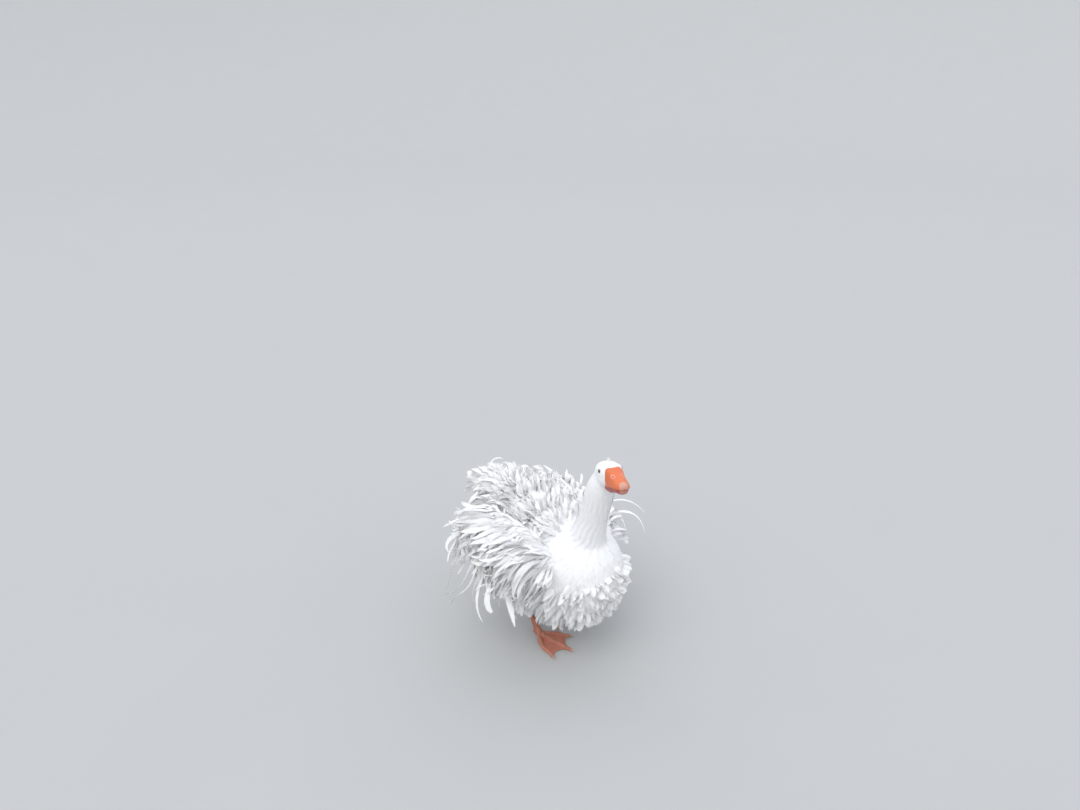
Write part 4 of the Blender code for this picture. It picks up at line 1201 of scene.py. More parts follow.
def flow(places: Array, seed: int) -> Array:
    """A number from -1 to 1 that changes slowly over the body, so that neighbours lie in locks."""
    draw = np.random.default_rng(seed)
    waves = draw.normal(size=(LOCK_WAVES, 3)) * LOCK_RATE
    return np.tanh(np.sin(places @ waves.T + draw.uniform(0.0, 2.0 * math.pi, LOCK_WAVES)).sum(-1) / 1.8)


def box_inside(margin: float) -> tuple[Array, Array]:
    """The solids' box in the goose's frame, with a margin, and a floor that feathers stay off."""
    low, high = (np.array(corner) - STANCE for corner in SOLID_BOX)
    low, high = low - margin, high + margin
    low[2] = FLOOR_MARGIN
    return low, high


def fitted(spines: Spines) -> Spines:
    """Draws in each midrib that would reach outside the goose's box, towards its own root."""
    low, high = box_inside(BOX_MARGIN)
    root = spines.place[:, :1]
    shift = spines.place - root
    with np.errstate(divide="ignore", invalid="ignore"):
        room_high = np.where(shift > 1e-6, (high - root) / shift, 1.0)
        room_low = np.where(shift < -1e-6, (low - root) / shift, 1.0)
    share = np.clip(np.minimum(room_high, room_low).min(axis=(1, 2)), 0.2, 1.0)
    spines.place = root + shift * share[:, None, None]
    return spines


def sampled(rows: Array, shares: Array) -> Array:
    """Rows of steps read at shares of their length."""
    last = rows.shape[1] - 1
    place = np.clip(shares, 0.0, 1.0) * last
    low = np.minimum(place.astype(int), last - 1)
    mix = (place - low)[..., None]
    index = np.arange(rows.shape[0]).reshape((-1,) + (1,) * (shares.ndim - 1))
    return rows[index, low] * (1.0 - mix) + rows[index, low + 1] * mix


def profile_at(profile: tuple[float, ...], shares: Array) -> Array:
    """A width profile read at shares of the length."""
    return np.interp(shares, np.linspace(0.0, 1.0, len(profile)), profile)


class Coat:
    """One piece of the coat, gathered as thin sheets of quads."""

    def __init__(self, name: str, material: Material, skin: Skin, seed: int) -> None:
        """Starts an empty piece."""
        self.name, self.material, self.skin = name, material, skin
        self.draw = np.random.default_rng(seed)
        self.verts: list[Array] = []
        self.quads: list[Array] = []
        self.values: dict[str, list[Array]] = {"along": [], "side": [], "tone": [], "stain": []}
        self.uv: list[Array] = []
        self.count = 0

    def sheets(
        self, points: Array, along: Array, side: Array, feather: Array, roots: dict[str, Array]
    ) -> None:
        """Adds sheets, each a grid of points.

        Args:
            points: The grids: sheet, step, place across and coordinate.
            along: How far along its feather each step is.
            side: How far to the side of the feather each place across is.
            feather: Which feather each sheet is on.
            roots: The feathers' unwrap places, tones and stains.
        """
        count, steps, wide = points.shape[:3]
        sheet = np.arange(count)[:, None, None] * (steps * wide)
        cell = sheet + np.arange(steps - 1)[None, :, None] * wide + np.arange(wide - 1)[None, None]
        a = cell.ravel() + self.count
        self.quads.append(np.stack([a, a + 1, a + wide + 1, a + wide], axis=-1))
        self.verts.append(points.reshape(-1, 3))
        self.count += count * steps * wide
        place = np.repeat(along[..., None], wide, axis=2).reshape(-1)
        each = np.repeat(feather, steps * wide)
        across = np.tile(side, count * steps)
        self.values["along"].append(place)
        self.values["side"].append(across)
        self.values["tone"].append(roots["tone"][each])
        self.values["stain"].append(roots["stain"][each])
        patch = np.stack([0.5 + 0.45 * np.tile(np.linspace(-1.0, 1.0, wide), count * steps), place], axis=-1)
        self.uv.append(roots["uv"][each] + patch * PATCH)

    def grow(self, spines: Spines, vane: Vane, stain: float = 0.0) -> None:
        """Adds a feather on each midrib: a smooth blade, clumps of barbs on both sides, and a shaft.

        Args:
            spines: The midribs.
            vane: How their vanes are cut.
            stain: How much the feathers are stained at most.
        """
        count = len(spines.place)
        if not count:
            return
        spines = fitted(spines)
        roots = {
            "uv": self.skin.uv_at(spines.place[:, 0]),
            "tone": self.draw.random(count) ** 2,
            "stain": stain * self.draw.random(count) ** 3,
        }
        self.blades(spines, vane, roots)
        if vane.barbs:
            self.barbs(spines, vane, roots)
        if vane.shaft:
            steps = spines.place.shape[1]
            taper = np.linspace(1.0, 0.25, steps)[None, :, None] * vane.shaft
            centre = spines.place + spines.face * (0.6 * vane.shaft)
            along = np.linspace(0.25, 1.0, steps)[None] + np.zeros((count, 1))
            grid = np.stack([centre - spines.across * taper, centre + spines.across * taper], axis=2)
            self.sheets(grid, along, np.zeros(2), np.arange(count), roots)

    def blades(self, spines: Spines, vane: Vane, roots: dict[str, Array]) -> None:
        """Adds the smooth middle of each vane, cupped and a little uneven along its edges."""
        count, steps = spines.place.shape[:2]
        share = np.linspace(0.0, 1.0, steps)
        width = spines.half_width[:, None] * profile_at(vane.profile, share)[None] * vane.core
        side = np.linspace(-1.0, 1.0, vane.wide)
        uneven = self.draw.uniform(-1.0, 1.0, (count, steps, vane.wide))
        ripple = 1.0 + 0.5 * vane.fray * uneven * np.abs(side)
        out = width[..., None] * ripple * side
        fall = -vane.cup * width[..., None] * side**2
        points = spines.place[:, :, None] + spines.across[:, :, None] * out[..., None]
        points = points + spines.face[:, :, None] * fall[..., None]
        along = share[None] + np.zeros((count, 1))
        self.sheets(points, along, side * vane.core, np.arange(count), roots)

    def barbs(self, spines: Spines, vane: Vane, roots: dict[str, Array]) -> None:
        """Adds the clumps of barbs that fray the edges of each vane."""
        count, draw, barbs, parts = len(spines.place), self.draw, vane.barbs, vane.parts
        shape = (count, 2, barbs)
        share = (np.arange(barbs) + draw.uniform(0.0, 1.0, shape) * vane.fray) / barbs
        share = 0.04 + 0.95 * np.clip(share, 0.0, 1.0)
        flat = share.reshape(count, -1)
        base, ahead, across, face = (
            sampled(rows, flat).reshape(*shape, 3)
            for rows in (spines.place, spines.ahead, spines.across, spines.face)
        )
        side = np.array((-1.0, 1.0))[None, :, None]
        full = spines.half_width[:, None, None] * profile_at(vane.profile, share)
        start = 0.45 + 0.40 * (vane.core > 0.7)
        base = base + across * (side * full * vane.core * start)[..., None]
        base = base - face * (vane.cup * full * vane.core * start**2)[..., None]
        reach = full * (1.0 - start * vane.core) * (1.0 + vane.fray * draw.uniform(-0.6, 0.7, shape))
        lean = np.radians(vane.lean[0] + (vane.lean[1] - vane.lean[0]) * share)
        lean = lean * (1.0 + 0.5 * vane.fray * draw.uniform(-1.0, 1.0, shape))
        reach = reach / np.maximum(np.sin(lean), 0.34)
        room = (spines.length / barbs)[:, None, None] * vane.cover
        wander = vane.fray * draw.uniform(-1.0, 1.0, shape)
        place, grids, alongs = base, [], []
        for part in range(parts + 1):
            s = part / parts
            angle = lean * (1.0 - 0.30 * s) + wander * 0.30 * s
            out = ahead * np.cos(angle)[..., None] + across * (side * np.sin(angle))[..., None]
            if part:
                place = place + out * (reach / parts)[..., None]
            fall = -vane.cup * s * s + 0.22 * wander * s
            half = (1.0 - 0.86 * s**1.5) * room * 0.5 * np.maximum(np.sin(angle), 0.45)
            turn = across * (side * np.cos(angle))[..., None] - ahead * np.sin(angle)[..., None]
            centre = place + face * (fall * reach)[..., None]
            edge = turn * (half * -side)[..., None]
            grids.append(np.stack([centre - edge, centre + edge], axis=3))
            alongs.append(np.clip(share + 0.25 * s, 0.0, 1.0))
        feather = np.repeat(np.arange(count), 2 * barbs)
        grid = np.stack(grids, axis=3).reshape(-1, parts + 1, 2, 3)
        along = np.stack(alongs, axis=3).reshape(-1, parts + 1)
        self.sheets(grid, along, np.ones(2), feather, roots)

    def finish(self) -> Object:
        """Makes the piece's mesh.

        Returns:
            The object, riding on the goose.
        """
        obj = mesh_of(self.name, np.concatenate(self.verts), np.concatenate(self.quads), self.material)
        for label, parts in self.values.items():
            set_values(obj, label, np.concatenate(parts))
        set_uv(obj, BAKE_MAP, np.concatenate(self.uv))
        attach(obj, "root")
        LOG.info("%s: %d quads", self.name, len(obj.data.polygons))
        return obj


def laid_spines(skin: Skin, roots: Array, field: CoatField, vane: Vane, draw: Random) -> Spines:
    """Midribs that lie along the skin and stand off it a little more towards the tip.

    Args:
        skin: The skin to lie on.
        roots: Where the feathers grow.
        field: The coat at each root.
        vane: The vane that it will carry.
        draw: Random numbers.

    Returns:
        The midribs.
    """
    count, steps = len(roots), vane.steps
    mess = 0.08 + 0.55 * field.lift
    length = field.length * (1.0 + mess * draw.uniform(-1.0, 1.2, count))
    rise = field.lift * (1.0 + mess * (2.2 * flow(roots, RISE_LOCKS) + draw.uniform(-1.0, 1.0, count)))
    step = length / steps
    place, normal, _ = skin.nearest(roots)
    sway = mess * (1.3 * flow(roots, SWAY_LOCKS) + draw.normal(0.0, 0.8, count))
    way = turned(field.way, normal, sway + field.frizz * draw.normal(0.0, 0.32, count))
    swirl = field.frizz * draw.normal(0.0, 0.35, count)
    ground = place.copy()
    spine, faces = [place - normal * (0.05 * length)[:, None]], [normal]
    for number in range(1, steps + 1):
        share = number / steps
        ground, normal, _ = skin.nearest(ground + way * step[:, None])
        way = unit(way - normal * (way * normal).sum(-1, keepdims=True))
        way = turned(way, normal, swirl / steps)
        height = 0.0002 + 0.022 * length + rise * length * (share**1.25 - vane.tuck * share**4)
        spine.append(ground + normal * height[:, None])
        faces.append(normal)
    half = field.width / 2.0 * draw.uniform(0.75, 1.20, count)
    return framed(np.stack(spine, axis=1), np.stack(faces, axis=1), half)


def framed(place: Array, face: Array, half_width: Array) -> Spines:
    """Midribs from their places and rough face ways."""
    ahead = unit(np.gradient(place, axis=1))
    across = unit(np.cross(ahead, face))
    return Spines(place, ahead, across, np.cross(across, ahead), half_width)


def curled(spines: Spines, amount: Array, turns: Array, draw: Random) -> Spines:
    """Swings midribs into loose curls that widen towards the tip, and twists their vanes."""
    count, steps = spines.place.shape[:2]
    share = np.linspace(0.0, 1.0, steps)[None]
    phase = (math.pi * flow(spines.place[:, 0], PHASE_LOCKS) + draw.uniform(-0.9, 0.9, count))[:, None]
    swing = (amount[:, None] * share**1.3)[..., None]
    angle = turns[:, None] * 2.0 * math.pi * share + phase
    sideways = (np.sin(angle) - np.sin(phase))[..., None]
    upward = 0.6 * (1.0 - np.cos(angle - phase))[..., None]
    place = spines.place + swing * (spines.across * sideways + spines.face * upward)
    twist = turns[:, None] * share * 1.4 * np.sign(draw.normal(size=(count, 1)))
    face = turned(spines.face, spines.ahead, twist)
    return framed(place, face, spines.half_width)


@dataclass(frozen=True)
class Tract:
    """A tier of long feathers.

    start and stop are places on the piece that it grows from. heading mixes the ways out to the side,
    back along the body and upward, and is not used on the thighs. droop, curl, swirl and spin are radians
    per metre, and wave is the swing of the curl as a share of the length.
    """

    start: tuple[float, float]
    stop: tuple[float, float]
    count: int
    heading: Point
    length: float
    width: float
    droop: float
    curl: float
    swirl: float
    spin: float
    style: Style
    wave: float = 0.055


WING_TRACTS = (
    Tract((-0.84, 0.46), (0.66, 0.74), 60, (0.45, 0.45, 0.25), 0.122, 0.015, 19, 3, 16, 9, Style.PLUME),
    Tract((-0.88, 0.18), (0.80, 0.36), 60, (0.24, 0.42, -0.15), 0.110, 0.015, 13, 4, 16, 9, Style.PLUME),
    Tract((-0.84, -0.20), (0.80, -0.04), 58, (0.08, 0.35, -0.65), 0.110, 0.015, 6, 3, 14, 9, Style.PLUME),
    Tract((-0.50, -0.64), (0.60, -0.54), 44, (0.02, 0.20, -0.90), 0.102, 0.014, 3, 4, 12, 9, Style.PADDLE),
    Tract((0.86, -0.44), (0.86, 0.26), 18, (0.25, 0.10, -1), 0.122, 0.011, 2.5, -1, 8, 7, Style.PADDLE),
    Tract((-0.97, 0.02), (-0.90, 0.34), 14, (0.90, -0.20, 0.10), 0.054, 0.011, 14, 12, 10, 8, Style.PLUME),
    Tract((-0.85, 0.60), (0.85, 0.10), 110, (0.30, 0.35, 0), 0.078, 0.012, 15, 14, 30, 16, Style.PLUME),
    Tract((-0.85, -0.50), (0.85, 0), 90, (0.18, 0.30, -0.60), 0.076, 0.012, 8, 14, 28, 16, Style.PLUME),
    Tract((-0.85, -0.45), (0.85, 0.55), 150, (0.30, 0.32, -0.25), 0.084, 0.0046, 13, 14, 36, 20, Style.WISP),
)
TAIL_TRACTS = (
    Tract((-0.80, -0.10), (0.80, -0.10), 20, (0, 1, 0.16), 0.052, 0.018, 9, 4, 3, 3, Style.PADDLE),
    Tract((-0.62, 0.45), (0.62, 0.45), 22, (0.4, 1, 0.55), 0.052, 0.015, 16, 4, 8, 6, Style.PLUME),
)
TRUNK_TRACTS = (
    Tract((58, 0.42), (122, 0.42), 44, (0.9, 0.9, 0.05), 0.046, 0.011, 20, 6, 24, 12, Style.PLUME),
    Tract((54, 0.54), (126, 0.54), 52, (0.9, 0.9, 0.10), 0.054, 0.012, 20, 6, 24, 12, Style.PLUME),
    Tract((54, 0.66), (126, 0.66), 52, (0.9, 0.9, 0.20), 0.062, 0.012, 19, 6, 24, 12, Style.PLUME),
    Tract((34, 0.77), (146, 0.77), 56, (0.8, 0.8, 0.40), 0.070, 0.013, 18, 6, 20, 12, Style.PLUME),
    Tract((4, 0.87), (176, 0.87), 48, (1.3, 0.7, 0.25), 0.070, 0.014, 16, 4, 12, 8, Style.PLUME),
    Tract((60, 0.60), (120, 0.72), 90, (1, 0.8, 0.15), 0.048, 0.010, 20, 14, 34, 18, Style.PLUME),
    Tract((150, 0.08), (390, 0.08), 26, (0, 0.2, -1), 0.028, 0.015, 4, 4, 6, 4, Style.LOBE, 0.03),
    Tract((166, 0.13), (374, 0.13), 36, (0, 0.2, -1), 0.032, 0.016, 4, 4, 6, 4, Style.LOBE, 0.03),
    Tract((20, 0.045), (380, 0.045), 24, (0, 0.2, -1), 0.026, 0.014, 4, 4, 6, 4, Style.LOBE, 0.03),
    Tract((166, 0.20), (374, 0.20), 62, (0, 0.4, -1), 0.038, 0.017, 5, 5, 7, 5, Style.LOBE, 0.04),
    Tract((170, 0.27), (370, 0.27), 66, (0, 0.4, -1), 0.044, 0.018, 6, 6, 7, 5, Style.LOBE, 0.04),
    Tract((182, 0.34), (358, 0.34), 60, (0, 0.5, -1), 0.052, 0.018, 6, 6, 7, 5, Style.LOBE, 0.04),
    Tract((208, 0.42), (332, 0.42), 46, (0, 0.6, -1), 0.056, 0.018, 6, 6, 7, 5, Style.LOBE, 0.04),
    Tract((208, 0.53), (332, 0.53), 24, (0.2, 0.9, -0.5), 0.054, 0.018, 5, 4, 8, 6, Style.PADDLE),
    Tract((208, 0.66), (332, 0.66), 24, (0.3, 0.9, -0.5), 0.060, 0.018, 5, 4, 8, 6, Style.PADDLE),
    Tract((205, 0.80), (335, 0.80), 24, (0.5, 0.9, -0.5), 0.064, 0.016, 5, 4, 8, 6, Style.PLUME),
    Tract((36, 0.42), (144, 0.62), 110, (0.8, 0.8, 0.15), 0.044, 0.0046, 19, 12, 40, 20, Style.WISP),
    Tract((36, 0.80), (144, 0.70), 110, (0.8, 0.7, 0.4), 0.052, 0.0046, 19, 12, 40, 20, Style.WISP),
)
THIGH_TRACTS = (
    Tract((-180, 0.10), (180, 0.10), 30, (0, 0, 0), 0.040, 0.012, 4, 6, 10, 8, Style.PLUME),
    Tract((-180, 0.36), (180, 0.36), 30, (0, 0, 0), 0.036, 0.011, 4, 6, 10, 8, Style.PLUME),
    Tract((-180, 0.60), (180, 0.60), 26, (0, 0, 0), 0.030, 0.009, 4, 6, 10, 8, Style.PLUME),
    Tract((-180, 0.78), (180, 0.78), 22, (0, 0, 0), 0.022, 0.007, 4, 6, 8, 6, Style.PLUME),
)


@dataclass(frozen=True)
class Stray:
    """One loose feather that breaks the outline: its curve's control points, its facing and its width."""

    controls: tuple[Point, ...]
    face: Point
    width: float
    style: Style

    def spines(self) -> Spines:
        """The feather's midrib."""
        t = np.linspace(0.0, 1.0, self.style.value.steps + 1)
        place = bezier(np.array(self.controls), t)[None]
        face = np.zeros_like(place) + np.array(self.face)
        return framed(place, face, np.array((self.width / 2.0,)))


STREAMER_SWING = 0.010
BACKWARD = (-0.5, -0.7, 0.5)
OUTWARD_RIGHT = (-0.7, -0.5, 0.5)
OUTWARD_LEFT = (0.2, -0.8, 0.5)
CROWN = ((0.0, -0.004, 0.0270), (0.0010, -0.003, 0.0305), (0.0015, -0.001, 0.0330), (0.0012, 0.002, 0.0348))
TUFT_FACE, TUFT_WIDTH = (0.0, -1.0, 0.3), 0.0022
TUFT_SPREAD = ((0.0, 0.0), (0.0022, 0.001), (-0.0020, 0.002), (0.0012, -0.002), (-0.0010, -0.001))
STRAYS = (
    Stray(((-0.011, 0.208, 0.355), (-0.001, 0.217, 0.396), (0.017, 0.204, 0.404), (0.026, 0.190, 0.396)),
          BACKWARD, 0.005, Style.WISP),
    Stray(((-0.037, 0.187, 0.326), (-0.039, 0.212, 0.340), (-0.042, 0.231, 0.351), (-0.043, 0.249, 0.365)),
          BACKWARD, 0.018, Style.PADDLE),
    Stray(((-0.120, 0.120, 0.285), (-0.173, 0.160, 0.286), (-0.209, 0.164, 0.260), (-0.198, 0.141, 0.240)),
          OUTWARD_RIGHT, 0.010, Style.WISP),
    Stray(((-0.110, 0.130, 0.295), (-0.151, 0.175, 0.298), (-0.172, 0.179, 0.294), (-0.181, 0.184, 0.287)),
          OUTWARD_RIGHT, 0.007, Style.WISP),
    Stray(((-0.123, 0.071, 0.286), (-0.165, 0.090, 0.223), (-0.195, 0.105, 0.149), (-0.232, 0.150, 0.085)),
          OUTWARD_RIGHT, 0.013, Style.STREAMER),
    Stray(((-0.138, 0.068, 0.269), (-0.175, 0.080, 0.204), (-0.206, 0.092, 0.147), (-0.221, 0.121, 0.107)),
          OUTWARD_RIGHT, 0.010, Style.STREAMER),
    Stray(((-0.145, 0.068, 0.258), (-0.178, 0.062, 0.206), (-0.200, 0.047, 0.159), (-0.215, 0.052, 0.130)),
          OUTWARD_RIGHT, 0.008, Style.STREAMER),
    Stray(((-0.130, 0.110, 0.270), (-0.180, 0.120, 0.240), (-0.205, 0.130, 0.180), (-0.226, 0.160, 0.120)),
          OUTWARD_RIGHT, 0.008, Style.STREAMER),
    Stray(((-0.135, 0.063, 0.230), (-0.192, 0.062, 0.171), (-0.206, 0.051, 0.131), (-0.199, 0.025, 0.100)),
          OUTWARD_RIGHT, 0.007, Style.WISP),
    Stray(((-0.130, 0.030, 0.220), (-0.183, 0.035, 0.180), (-0.194, 0.025, 0.145), (-0.185, 0.007, 0.130)),
          OUTWARD_RIGHT, 0.016, Style.PADDLE),
    Stray(((-0.138, 0.009, 0.240), (-0.159, -0.012, 0.192), (-0.165, -0.038, 0.152), (-0.170, -0.056, 0.115)),
          OUTWARD_RIGHT, 0.019, Style.PLUME),
    Stray(((0.135, -0.060, 0.285), (0.172, -0.094, 0.315), (0.186, -0.135, 0.313), (0.178, -0.158, 0.262)),
          OUTWARD_LEFT, 0.0065, Style.WISP),
    Stray(((0.130, -0.040, 0.300), (0.180, -0.070, 0.345), (0.201, -0.108, 0.320), (0.212, -0.129, 0.293)),
          OUTWARD_LEFT, 0.004, Style.WISP),
    Stray(((0.135, -0.060, 0.285), (0.169, -0.090, 0.305), (0.158, -0.107, 0.278), (0.156, -0.115, 0.262)),
          OUTWARD_LEFT, 0.006, Style.WISP),
    Stray(((0.128, -0.060, 0.272), (0.150, -0.090, 0.274), (0.149, -0.116, 0.260), (0.141, -0.134, 0.238)),
          OUTWARD_LEFT, 0.024, Style.PADDLE),
)


ROOT_DEPTH = 0.004
ROOT_RISE = 0.001
SKIN_ROOM = 0.007
FLOOR_ROOM = 0.05


def free_spines(skin: Skin, roots: Array, normals: Array, ways: Array, tract: Tract, draw: Random) -> Spines:
    """Midribs of long feathers that leave the body, droop and curl, and keep off the skin.

    Args:
        skin: The skin to keep off.
        roots: Where the feathers grow.
        normals: The skin's normals there.
        ways: The ways that they leave it.
        tract: The tract's rates and sizes.
        draw: Random numbers.

    Returns:
        The midribs.
    """
    count, steps = len(roots), tract.style.value.steps
    length = tract.length * draw.uniform(0.62, 1.04, count)
    step = (length / steps)[:, None]
    curl = tract.curl * (1.0 + 0.5 * flow(roots, CURL_LOCKS) + 0.4 * draw.uniform(-1.0, 1.0, count))
    swirl = tract.swirl * (0.9 * flow(roots, SWIRL_LOCKS) + 0.45 * draw.uniform(-1.0, 1.0, count))
    spin = tract.spin * (0.6 * flow(roots, SPIN_LOCKS) + 0.6 * draw.uniform(-1.0, 1.0, count))
    ahead = unit(ways)
    face = unit(normals - ahead * (normals * ahead).sum(-1, keepdims=True))
    places, faces = [roots - ahead * ROOT_DEPTH], [face]
    at = roots + ahead * ROOT_RISE
    for number in range(steps):
        grown = 2.0 * (number + 0.5) / steps * step[:, 0]
        across = np.cross(ahead, face)
        turns = ((across, -curl * grown), (face, swirl * grown), (ahead, spin * step[:, 0]))
        for axis, angle in turns:
            axis = unit(axis)
            ahead, face = turned(ahead, axis, angle), turned(face, axis, angle)
        fall = np.cross(ahead, -UP[None])
        angle = tract.droop * step[:, 0] * np.linalg.norm(fall, axis=-1)
        ahead, face = turned(ahead, unit(fall), angle), turned(face, unit(fall), angle)
        ground, normal, _ = skin.nearest(at)
        near = ((at - ground) * normal).sum(-1) < SKIN_ROOM
        ahead = unit(ahead + normal * (0.5 * near * (number > 0))[:, None])
        low = (at[:, 2] < FLOOR_ROOM) & (ahead[:, 2] < -0.2)
        ahead = unit(ahead + UP * (0.5 * low)[:, None])
        face = unit(face - ahead * (face * ahead).sum(-1, keepdims=True))
        at = at + ahead * step
        places.append(at)
        faces.append(face)
    half = tract.width / 2.0 * draw.uniform(0.7, 1.25, count)
    spines = framed(np.stack(places, axis=1), np.stack(faces, axis=1), half)
    amount = tract.wave * length * draw.uniform(0.3, 1.3, count)
    return curled(spines, amount, draw.uniform(0.5, 1.5, count), draw)


LEAST_RISE, LOBE_RISE = 0.30, 0.06
SCATTER_SEED, SMALL_SEED = 5, 100
WING_SEED, TAIL_SEED, TRUNK_SEED, STRAY_SEED, THIGH_SEED = 300, 311, 317, 331, 341
WING_STAIN, TAIL_STAIN, TRUNK_STAIN, STRAY_STAIN, THIGH_STAIN = 0.10, 0.2, 0.08, 0.1, 0.15
SMALL_STAIN, LOW_STAIN = 0.06, 0.25


def mixed_ways(normals: Array, mix: Point, lean: Array, least: float = LEAST_RISE) -> Array:
    """Headings from their shares to the side, back and up, that leave the skin by at least some share."""
    out, back, up = mix
    side = np.clip(normals[:, 0] * 1.6, -1.0, 1.0)
    way = unit(np.stack([side * out + lean, back + 0.0 * lean, up + 0.0 * lean], axis=-1))
    inward = (way * normals).sum(-1)
    return unit(way + normals * np.maximum(0.0, least - inward)[:, None])


def tract_places(tract: Tract, jitter: tuple[float, float], draw: Random) -> tuple[Array, Array]:
    """The two place numbers of each of a tract's feathers."""
    t = (np.arange(tract.count) + 0.5) / tract.count
    ends = zip(tract.start, tract.stop, jitter)
    return tuple(a + (b - a) * t + draw.uniform(-j, j, tract.count) for a, b, j in ends)


class Plumage:
    """The whole coat: small feathers laid over the skin and long curled feathers from their tracts."""

    def __init__(self, skin: Skin, material: Material) -> None:
        """Keeps the skin and the feather finish."""
        self.skin, self.material = skin, material

    def small(self) -> None:
        """Grows the small feathers, one piece for each zone of the body."""
        places, _, field = self.skin.scatter(SCATTER_SEED)
        styles = {
            Zone.HEAD: Style.VELVET,
            Zone.NECK: Style.NECK,
            Zone.BREAST: Style.PUFF,
            Zone.THIGHS: Style.NECK,
        }
        for number, zone in enumerate(Zone):
            rows = np.flatnonzero(field.zone == zone.value)
            part = CoatField(*(getattr(field, name)[rows] for name in CoatField.__dataclass_fields__))
            coat = Coat("coat_" + zone.name.lower(), self.material, self.skin, SMALL_SEED + number)
            vane = styles.get(zone, Style.FLUFF).value
            spines = laid_spines(self.skin, places[rows], part, vane, coat.draw)
            if zone not in styles:
                count = len(rows)
                amount = 0.010 * part.frizz * coat.draw.random(count)
                spines = curled(spines, amount, coat.draw.uniform(0.4, 1.2, count), coat.draw)
            coat.grow(spines, vane, LOW_STAIN if zone in (Zone.BELLY, Zone.THIGHS) else SMALL_STAIN)
            coat.finish()

    def tier(self, coat: Coat, roots: Array, normals: Array, ways: Array, tract: Tract, stain: float) -> None:
        """Grows one tract of long feathers from its roots."""
        coat.grow(free_spines(self.skin, roots, normals, ways, tract, coat.draw), tract.style.value, stain)

    def wing(self, name: str, side: float) -> None:
        """Grows one wing's long feathers."""
        coat = Coat("long_wing_" + name, self.material, self.skin, WING_SEED + int(side))
        place = wing_place(side)
        half = np.array((WING.half_width, WING.front, WING.rise))
        for tract in WING_TRACTS:
            along, high = tract_places(tract, (0.05, 0.09), coat.draw)
            depth = np.sqrt(np.maximum(0.02, 1.0 - along**2 - high**2))
            local = np.stack([side * depth, along, high], axis=-1) * half
            normals = unit(local / half**2) @ place.turn.T
            ways = mixed_ways(normals, tract.heading, coat.draw.uniform(-0.2, 0.2, tract.count))
            self.tier(coat, place.out(local), normals, ways, tract, WING_STAIN)
        coat.finish()

    def tail(self) -> None:
        """Grows the tail's fan."""
        coat = Coat("long_tail", self.material, self.skin, TAIL_SEED)
        half = np.array((TAIL.half_width, TAIL.front, TAIL.rise))
        for tract in TAIL_TRACTS:
            across, high = tract_places(tract, (0.03, 0.12), coat.draw)
            depth = np.sqrt(np.maximum(0.02, 1.0 - across**2 - high**2))
            local = np.stack([across, depth, high], axis=-1) * half
            out, back, up = tract.heading
            normals = unit(local / half**2) @ TAIL_PLACE.turn.T
            ways = np.stack([across * 0.75, back + 0.0 * across, up + 0.0 * across], axis=-1) + normals * out
            faces = np.zeros_like(ways) + UP
            self.tier(coat, TAIL_PLACE.out(local), faces, ways, tract, TAIL_STAIN)
        coat.finish()

    def thighs(self) -> None:
        """Grows the loose feathers that hang down the thighs, over the tops of the shanks."""
        coat = Coat("long_thighs", self.material, self.skin, THIGH_SEED)
        for name, side in SIDES.items():
            for tract in THIGH_TRACTS:
                degrees, share = tract_places(tract, (10.0, 0.05), coat.draw)
                turn = np.radians(degrees)
                round_ = np.stack([side * np.cos(turn), np.sin(turn), 0.0 * turn], axis=-1)
                roots = thigh_line(name, share) + round_ * thigh_radius(share)[:, None]
                roots, normals, _ = self.skin.nearest(roots)
                ways = unit(np.array((0.1 * side, 0.25, -1.0)) + 0.30 * round_)
                self.tier(coat, roots, normals, ways, tract, THIGH_STAIN)
        coat.finish()

    def strays(self) -> None:
        """Grows the loose feathers that break the outline."""
        coat = Coat("long_strays", self.material, self.skin, STRAY_SEED)
        for stray in STRAYS:
            spines = stray.spines()
            if stray.style is Style.STREAMER:
                spines = curled(spines, np.full(1, STREAMER_SWING), np.full(1, 1.3), coat.draw)
            coat.grow(spines, stray.style.value, STRAY_STAIN)
        for right, back in TUFT_SPREAD:
            grown = HEAD_PLACE.out(np.array(CROWN) + np.array(((0.0, 0.0, 0.0),) + ((right, back, 0.0),) * 3))
            wisp = Stray(tuple(map(tuple, grown)), TUFT_FACE, TUFT_WIDTH, Style.WISP)
            coat.grow(wisp.spines(), wisp.style.value)
        coat.finish()

    def trunk(self) -> None:
        """Grows the long feathers of the back, rump and belly, and the lobes of the breast."""
        coat = Coat("long_back", self.material, self.skin, TRUNK_SEED)
        for tract in TRUNK_TRACTS:
            degrees, share = tract_places(tract, (5.0, 0.03), coat.draw)
            roots = TRUNK.point(degrees, share)
            roots, normals, _ = self.skin.nearest(roots)
            least = LOBE_RISE if tract.style is Style.LOBE else LEAST_RISE
            ways = mixed_ways(normals, tract.heading, coat.draw.uniform(-0.25, 0.25, tract.count), least)
            self.tier(coat, roots, normals, ways, tract, TRUNK_STAIN)
        coat.finish()


# The bill.


